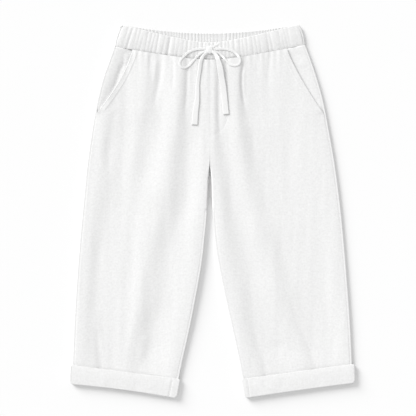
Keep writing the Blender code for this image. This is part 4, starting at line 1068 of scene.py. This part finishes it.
def cuff(side, finish):
    """A turned-up cuff round the leg's end: its face, the fold where the cloth turns up, and its inside."""
    tall = (1 - CUFF_TOP) * LEG_LENGTH - CUFF_SHORT
    flat = round(CUFF_WIDE / CUFF_STEP)  # columns over its front, and over its back
    quarter, end = 4, 3  # columns over each quarter turn at its two ends, and between them
    stops = np.cumsum([0, flat, quarter, end, quarter, flat, quarter, end, quarter])
    columns = int(stops[-1])

    def place(u, w):
        drop, inset = cuff_wall(w, tall)
        column = np.rint(u * columns)
        across = np.interp(column, stops, [0, 1, 1, 1, 1, 0, 0, 0, 0])
        height = np.interp(column, stops, [1, 1, 1, 0, 0, 0, 0, 1, 1])
        angle = np.interp(column, stops, [0, 0, 0.5, 0.5, 1, 1, 1.5, 1.5, 2]) * math.pi
        setback = CUFF_SETBACK[side] * height * np.sin(math.pi * across)
        v = CUFF_TOP + drop * (1 - setback / tall) / LEG_LENGTH
        inner, _, outer, _ = edges(side, v, FRONT_SEAM)
        radius = np.maximum(CUFF_CORNER - inset, 0.25)
        nip = rounded(drop + CUFF_NIP_ABOVE, CUFF_TOP_NIP) + rounded(tall - drop, CUFF_FOLD_NIP)
        low = inner - CUFF_PROUD["inner"] + nip + inset + radius
        high = outer + CUFF_PROUD["outer"] - nip - inset - radius
        out = mix(low, high, across) + radius * np.sin(angle)
        up = mix(inset + radius, 2 * CUFF_HALF - inset - radius, height) + radius * np.cos(angle)
        down = section_down(side, v, out)
        wrinkle = crease_height(CUFF_CREASES[side], out, down) + 0.4 * waver(out, down, 9.0)
        ends = ease((out - low + 2) / CUFF_PLAIN) * ease((high - out + 2) / CUFF_PLAIN)
        belly = CUFF_BELLY * np.sin(math.pi * np.clip(drop / tall, 0, 1))
        up = up + ease((up - CUFF_HALF) / 3) * ends * (wrinkle + belly)
        over = drop + WALL_APART * (w > FOLD_END)
        return SIGN[side] * out, down, up, out * np.cos(angle) + up, over

    made = cloth(f"cloth_cuff_{side}", columns, CUFF_ROWS, place, finish)
    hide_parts(f"cuff_{side}")
    return made


# ---- Drawstring ----


def ground(across, down):
    """Height of the garment's upper face at places."""
    across, down = np.asarray(across, float), np.asarray(down, float)
    out = np.abs(across)
    heights = {}
    for side in SIGN:
        seam, top = line_down(FRONT_SEAM[side], out), line_down(FRONT_TOP[side], out)
        low = (down - top) / (seam - top)
        share = 0.5 + 0.5 * across / mix(FRONT_TOP[side].side_out, FRONT_SEAM[side].side_out, low)
        on_band = front_band_height(share, low)
        v = section_at(side, out, down)
        on_front = front_height(side, v, np.maximum(out, front_limits(side, v)[0]))
        height = np.where(down <= seam, on_band, on_front)
        heights[side] = np.where(down < top - 0.5, 2 * BAND_ROUND + BACK_RUFFLE_HEIGHT, height)
    return np.where(across < 0, heights["right"], heights["left"])


def ground_under(across, down, reach):
    """The highest cloth within a tape's reach of a place."""
    steps = np.linspace(-1, 1, 5)
    i, j = np.meshgrid(steps, steps)
    return float(ground(across + reach * i, down + reach * j * 0.5).max())


Station = namedtuple("Station", ("along",) + Tape._fields)


def tape_stations(rows, step):
    """The rows of a tape again, a step apart on a smooth curve through them."""
    spans = [math.dist(before[:2], after[:2]) for before, after in zip(rows, rows[1:])]
    along = np.cumsum([0.0] + spans)
    table = [Station(s, *row) for s, row in zip(along, rows)]
    stations = np.linspace(0, along[-1], max(3, round(along[-1] / step)) + 1)
    return [Tape(*values) for values in zip(*(smooth(table, field, stations) for field in Tape._fields))]


def tape_route(rows, thick):
    """A tape's centres, as (across, down, up), and at each of them the directions across and through it."""
    centres = []
    for row in rows:
        lean = math.radians(row.lean)
        sine, cosine = abs(math.sin(lean)), abs(math.cos(lean))
        floor = ground_under(row.across, row.down, cosine * row.width / 2 + sine * thick / 2)
        up = floor + row.lift + sine * row.width / 2 + cosine * thick / 2
        centres.append(Vector((row.across, row.down, up)))
    for _ in range(TAPE_SMOOTHINGS):
        heights = [centre.z for centre in centres]
        for i in range(1, len(centres) - 1):
            centres[i].z = max(heights[i], (heights[i - 1] + heights[i + 1]) / 2)
    across, through = [], []
    for i, row in enumerate(rows):
        tangent = (centres[min(i + 1, len(rows) - 1)] - centres[max(i - 1, 0)]).normalized()
        level = Vector((-tangent.y, tangent.x, 0)).normalized()
        upright = level.cross(tangent).normalized()
        if upright.z < 0:
            upright.negate()
        angle = math.radians(row.lean)
        across.append(level * math.cos(angle) + upright * math.sin(angle))
        through.append(tangent.cross(across[-1]).normalized())
    return centres, across, through


def tape(name, rows, finish, step=2.0, thick=TAPE):
    """A woven tape along its table of stations. Gives the piece and the line along its middle."""
    rows = tape_stations(rows, step)
    centres, across, through = tape_route(rows, thick)
    length = len(rows) - 1

    def place(u, w):
        i = np.rint(w * length).astype(int)
        wide, fold = np.array([(row.width, row.fold) for row in rows]).T[:, i]
        middle, level, deep = (np.array(vectors)[i] for vectors in (centres, across, through))
        # The crease lies near the left edge of a folded length, and its wider face falls away to the right.
        past = u - TAPE_CREASE
        crease = np.where(past > 0, -TAPE_SLOPES[1] * past, TAPE_SLOPES[0] * past) * wide * fold
        cup = crease + 0.1 * np.cos(math.pi * (u - 0.5)) + 0.06 * np.sin(0.35 * i + 2 * u)
        upwards = deep * np.sign(deep[:, 2:])
        points = middle + level * ((u - 0.5) * wide)[:, None] + upwards * cup[:, None]
        return *points.T, u * wide, i * step

    made = cloth(name, TAPE_COLUMNS, length, place, finish, faces_up=True)
    thicken(made, thick, offset=0.0)
    return made, [tuple(world(*centre)) for centre in centres]


def knot(finish):
    """The knot: a fat bead wound from the tape's folds."""
    across, down = KNOT_PLACE
    half_across, half_along, half_up = KNOT_HALF
    middle = ground_under(across, down, half_along) + KNOT_LIFT + half_up
    mesh = bmesh.new()
    bmesh.ops.create_icosphere(mesh, subdivisions=5, radius=1)
    weave = mesh.loops.layers.uv.new("cloth")
    for face in mesh.faces:
        for loop in face.loops:
            x, y, z = loop.vert.co
            loop[weave].uv = (math.atan2(x, z) * half_across * MM, y * half_along * MM)
    for vert in mesh.verts:
        x, y, z = (math.copysign(abs(c) ** 0.9, c) for c in vert.co)
        winding = 0.025 * math.cos(2 * math.pi * (x * 1.55 + 0.16 * math.sin(3 * y + 1)))
        winding -= 0.09 * math.exp(-(((x - 0.30 - 0.12 * y) / 0.10) ** 2)) * max(z, 0)
        winding -= 0.06 * math.exp(-(((y - 0.62 + 0.2 * x) / 0.12) ** 2)) * max(z, 0)
        grown = 0.97 + winding
        x, y, z = half_across * x * grown, half_along * y * grown, half_up * z * grown
        vert.co = world(across + x, down - y, middle + z)
    made = piece("tape_knot", mesh, finish)
    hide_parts("drawstring_knot")
    return made


def drawstring(finish):
    """Two loops and two tails from the knot, and the short feeds that come out of the waistband's gathers."""
    bead = knot(finish)
    for side in SIGN:
        loop, route = tape(f"tape_loop_{side}", LOOPS[side], finish, thick=DOUBLED)
        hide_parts(f"drawstring_loop_{side}")
        tail, tail_route = tape(f"tape_tail_{side}", TAILS[side], finish)
        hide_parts(f"drawstring_tail_{side}")
        feed, _ = tape(f"tape_feed_{side}", FEEDS[side], finish, step=1.5, thick=FEED_TAPE)
        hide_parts(f"drawstring_feed_{side}")


# ---- Stitches ----

STITCH = 2.9
STITCH_GAP = 0.7
THREAD = 0.34  # half of the thread's width, as it sinks into the cloth
THREAD_LIFT = 0.15  # of its middle over the cloth
CUFF_THREAD_LIFT = 0.3  # the same on the cuffs, over their plain face


def stitches(name, lines, finish):
    """Rows of short raised stitches along lines of points on the cloth, joined into one piece."""
    mesh = bmesh.new()
    for line in lines:
        points = [Vector(p) for p in line]
        spans = [(b - a).length for a, b in zip(points, points[1:])]
        total, step = sum(spans), (STITCH + STITCH_GAP) * MM
        for i in range(int(total / step)):
            at, k = (i + 0.5) * step, 0
            while at > spans[k] and k < len(spans) - 1:
                at -= spans[k]
                k += 1
            way = (points[k + 1] - points[k]).normalized()
            turn = way.to_track_quat("X", "Z").to_matrix().to_4x4()
            size = Matrix.Diagonal((STITCH / 2 * MM, THREAD * MM, THREAD * 0.8 * MM, 1))
            place = Matrix.Translation(points[k] + way * at) @ turn @ size
            bmesh.ops.create_uvsphere(mesh, u_segments=6, v_segments=4, radius=1, matrix=place)
    made = piece(name, mesh, finish)
    return made


def front_row(side, places):
    """Points on a front panel's face for a row of (out, down) places."""
    out, down = np.array(places, float).T
    v = section_at(side, out, down)
    return world(SIGN[side] * out, down, front_face(side, v, out) + THREAD_LIFT)


def pocket_row(side, away):
    """A row of stitches that follows the pocket's opening, `away` inside its edge."""
    v = np.linspace(0.012, 0.184, 60)
    _, mouth, _ = front_limits(side, v)
    out = mouth - away
    return world(SIGN[side] * out, section_down(side, v, out), front_face(side, v, out) + THREAD_LIFT)


def cuff_row(side, out, v):
    """A row of stitches up a cuff's face."""
    return world(SIGN[side] * out, section_down(side, v, out), 2 * CUFF_HALF + CUFF_THREAD_LIFT)


def all_stitches(finish):
    """The visible stitching: along the pockets, round the mock fly and up the cuffs' ends."""
    for side in SIGN:
        stitches(f"stitches_pocket_{side}", [pocket_row(side, away) for away in POCKET_STITCHES], finish)
    stitches("stitches_fly", [front_row("left", fly_line())], finish)
    for side in SIGN:
        v = np.linspace(CUFF_TOP + 0.004, 0.992, 14)
        inner, _, outer, _ = edges(side, v, FRONT_SEAM)
        inner_row = inner + np.linspace(*CUFF_ROW[side], 14)
        rows = [cuff_row(side, inner_row, v), cuff_row(side, outer + CUFF_OUTER_ROW, v)]
        stitches(f"stitches_cuff_{side}", rows, finish)


# ---- Finishes ----


class Nodes:
    """Short ways to add, set and join a material's nodes."""

    def __init__(self, name):
        self.made = bpy.data.materials.new(name)
        self.made.use_nodes = True
        self.tree = self.made.node_tree
        self.shader = self.tree.nodes["Principled BSDF"]

    def put(self, node, sockets):
        """Gives inputs of a node their values, or joins them to other nodes' outputs."""
        for socket, value in sockets.items():
            if isinstance(value, bpy.types.NodeSocket):
                self.tree.links.new(value, node.inputs[socket])
            else:
                node.inputs[socket].default_value = value

    def add(self, kind, sockets, output=0, **settings):
        """Adds a node with its settings and inputs, and gives its output."""
        node = self.tree.nodes.new("ShaderNode" + kind)
        for name, value in settings.items():
            setattr(node, name, value)
        self.put(node, sockets)
        return node.outputs[output]

    def math(self, operation, a, b):
        return self.add("Math", {0: a, 1: b}, operation=operation)

    def noise(self, vector, scale, detail=2.0, roughness=0.5, stretch=(1, 1, 1)):
        place = self.add("Mapping", {"Vector": vector, "Scale": stretch})
        sockets = {"Vector": place, "Scale": scale, "Detail": detail, "Roughness": roughness}
        return self.add("TexNoise", sockets, "Fac")

    def yarns(self, vector, period, direction):
        """Rows of yarns a period apart: 0 between two of them and 1 on top of one."""
        sockets = {"Vector": vector, "Scale": 2 * math.pi / (20 * period), "Distortion": 0.0}
        settings = {"wave_type": "BANDS", "bands_direction": direction, "wave_profile": "SIN"}
        return self.add("TexWave", sockets, "Fac", **settings)

    def ramp(self, share, low, high, start=0.0, end=1.0):
        """A colour between two others, by a share between a start and an end."""
        ramp = self.tree.nodes.new("ShaderNodeValToRGB")
        self.put(ramp, {"Fac": share})
        for element, position, colour in zip(ramp.color_ramp.elements, (start, end), (low, high)):
            element.position = position
            element.color = (*colour, 1)
        return ramp.outputs["Color"]


def woven(name, shade, warp, weft, slub, relief):
    """White woven cloth. `warp` and `weft` are its yarns' spacing and `slub` how uneven they are."""
    nodes = Nodes(name)
    flat = nodes.add("UVMap", {}, uv_map="cloth")
    wander = nodes.noise(flat, 160)
    wandering = nodes.add("CombineXYZ", {"X": wander, "Y": wander})
    shift = nodes.add("VectorMath", {0: wandering, "Scale": 0.0005}, operation="SCALE")
    moved = nodes.add("VectorMath", {0: flat, 1: shift}, operation="ADD")
    weave = nodes.math("MAXIMUM", nodes.yarns(moved, warp * MM, "X"), nodes.yarns(moved, weft * MM, "Y"))
    # Thick places run along single yarns both ways.
    long_slubs = nodes.noise(flat, 60, roughness=0.6, stretch=(22, 1, 1))
    cross_slubs = nodes.noise(flat, 60, roughness=0.6, stretch=(1, 22, 1))
    slubs = nodes.math("ADD", long_slubs, cross_slubs)
    cloudy = nodes.noise(flat, 130)
    grain = nodes.noise(flat, 250, detail=1.0)
    mottle = nodes.math("ADD", nodes.math("MULTIPLY", cloudy, 0.5), nodes.math("MULTIPLY", grain, 0.8))
    spread = nodes.math("ADD", nodes.math("MULTIPLY", slubs, slub), mottle)
    spread = nodes.math("DIVIDE", spread, 2 * slub + 1.3)
    low, high = shade
    colour = nodes.ramp(spread, (low, low, low * 0.997), (high, high, high * 0.998), 0.3, 0.7)
    height = nodes.math("ADD", nodes.math("MULTIPLY", weave, 0.5), nodes.math("MULTIPLY", slubs, 0.6 * slub))
    nodes.put(nodes.shader, {
        "Base Color": colour,
        "Normal": nodes.add("Bump", {"Strength": relief, "Distance": 0.00025, "Height": height}),
        "Roughness": nodes.math("ADD", nodes.math("MULTIPLY", cloudy, 0.12), 0.82),
        "Specular IOR Level": 0.3,
        "Sheen Weight": 0.12,
        "Sheen Roughness": 0.5,
    })
    return nodes.made


def sewing_thread():
    """White sewing thread, faintly uneven along its length."""
    nodes = Nodes("white_sewing_thread")
    fuzz = nodes.noise(nodes.add("TexCoord", {}, "Object"), 2500)
    colour = nodes.ramp(fuzz, (0.80, 0.80, 0.79), (0.86, 0.86, 0.855))
    nodes.put(nodes.shader, {"Base Color": colour, "Roughness": 0.6, "Specular IOR Level": 0.35})
    return nodes.made


# ---- Table, light and camera ----

# In metres.
FLOOR_DROP = 0.0004
FLOOR_SIZE = 6.0
FRAME_WIDTH = 0.8736  # what the camera takes in
FRAME_MIDDLE = (-0.0088, 0.00705)
CAMERA_UP = 3.0
# In degrees.
KEY_ELEVATION = 20.5
KEY_AZIMUTH = 135.0  # from the upper left of the laid garment
KEY_SPREAD = 29.0

KEY_STRENGTH = 3.655
SKY = 0.693


def table():
    """The plain pale table top that the trousers lie on."""
    mesh = bmesh.new()
    bmesh.ops.create_grid(mesh, x_segments=1, y_segments=1, size=FLOOR_SIZE)
    bmesh.ops.translate(mesh, verts=mesh.verts, vec=(0, 0, -FLOOR_DROP))
    data = bpy.data.meshes.new("table_top")
    mesh.to_mesh(data)
    mesh.free()
    made = bpy.data.objects.new("table_top", data)
    bpy.context.scene.collection.objects.link(made)
    nodes = Nodes("white_table")
    nodes.put(nodes.shader, {"Base Color": (0.9, 0.9, 0.9, 1), "Roughness": 1.0, "Specular IOR Level": 0.0})
    data.materials.append(nodes.made)


def light_and_camera():
    """One large soft light from the upper left, an even pale room, and a camera straight above."""
    scene = bpy.context.scene
    scene.view_settings.view_transform = "Standard"
    sky = bpy.data.worlds.new("soft_room")
    sky.use_nodes = True
    room = sky.node_tree.nodes["Background"]
    room.inputs["Color"].default_value = (1, 1, 1, 1)
    room.inputs["Strength"].default_value = SKY
    scene.world = sky
    key = bpy.data.lights.new("key", "SUN")
    key.energy = KEY_STRENGTH
    key.angle = math.radians(KEY_SPREAD)
    lamp = bpy.data.objects.new("key", key)
    azimuth, elevation = math.radians(KEY_AZIMUTH), math.radians(KEY_ELEVATION)
    flat = math.cos(elevation)
    towards = Vector((math.cos(azimuth) * flat, math.sin(azimuth) * flat, math.sin(elevation)))
    lamp.rotation_euler = towards.to_track_quat("Z", "Y").to_euler()
    lamp.location = towards * 4
    scene.collection.objects.link(lamp)
    camera = bpy.data.cameras.new("camera")
    camera.angle = 2 * math.atan(FRAME_WIDTH / 2 / CAMERA_UP)
    camera.clip_end = 20
    eye = bpy.data.objects.new("camera", camera)
    eye.location = (*FRAME_MIDDLE, CAMERA_UP)
    scene.collection.objects.link(eye)
    scene.camera = eye


def main():
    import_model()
    light_and_camera()
    linen = woven("white_slub_linen", (0.745, 0.885), 0.45, 0.50, 0.5, 0.4)
    # The waistband's linen is the legs' linen painted a little darker: painted shade that stands in for the
    # shade among its gathers.
    band = woven("white_linen_waistband", (0.727, 0.867), 0.45, 0.50, 0.5, 0.4)
    cotton = woven("white_cotton_tape", (0.82, 0.855), 0.55, 0.9, 0.2, 0.6)
    thread = sewing_thread()
    drawstring(cotton)
    for side in SIGN:
        front = front_panel(side, linen)
        back = back_panel(side, linen)
        hip = hip_piece(side, linen)
        turned = cuff(side, linen)
    waist_back = waistband_back(band)
    waist_front = waistband_front(band)
    all_stitches(thread)
    table()


main()
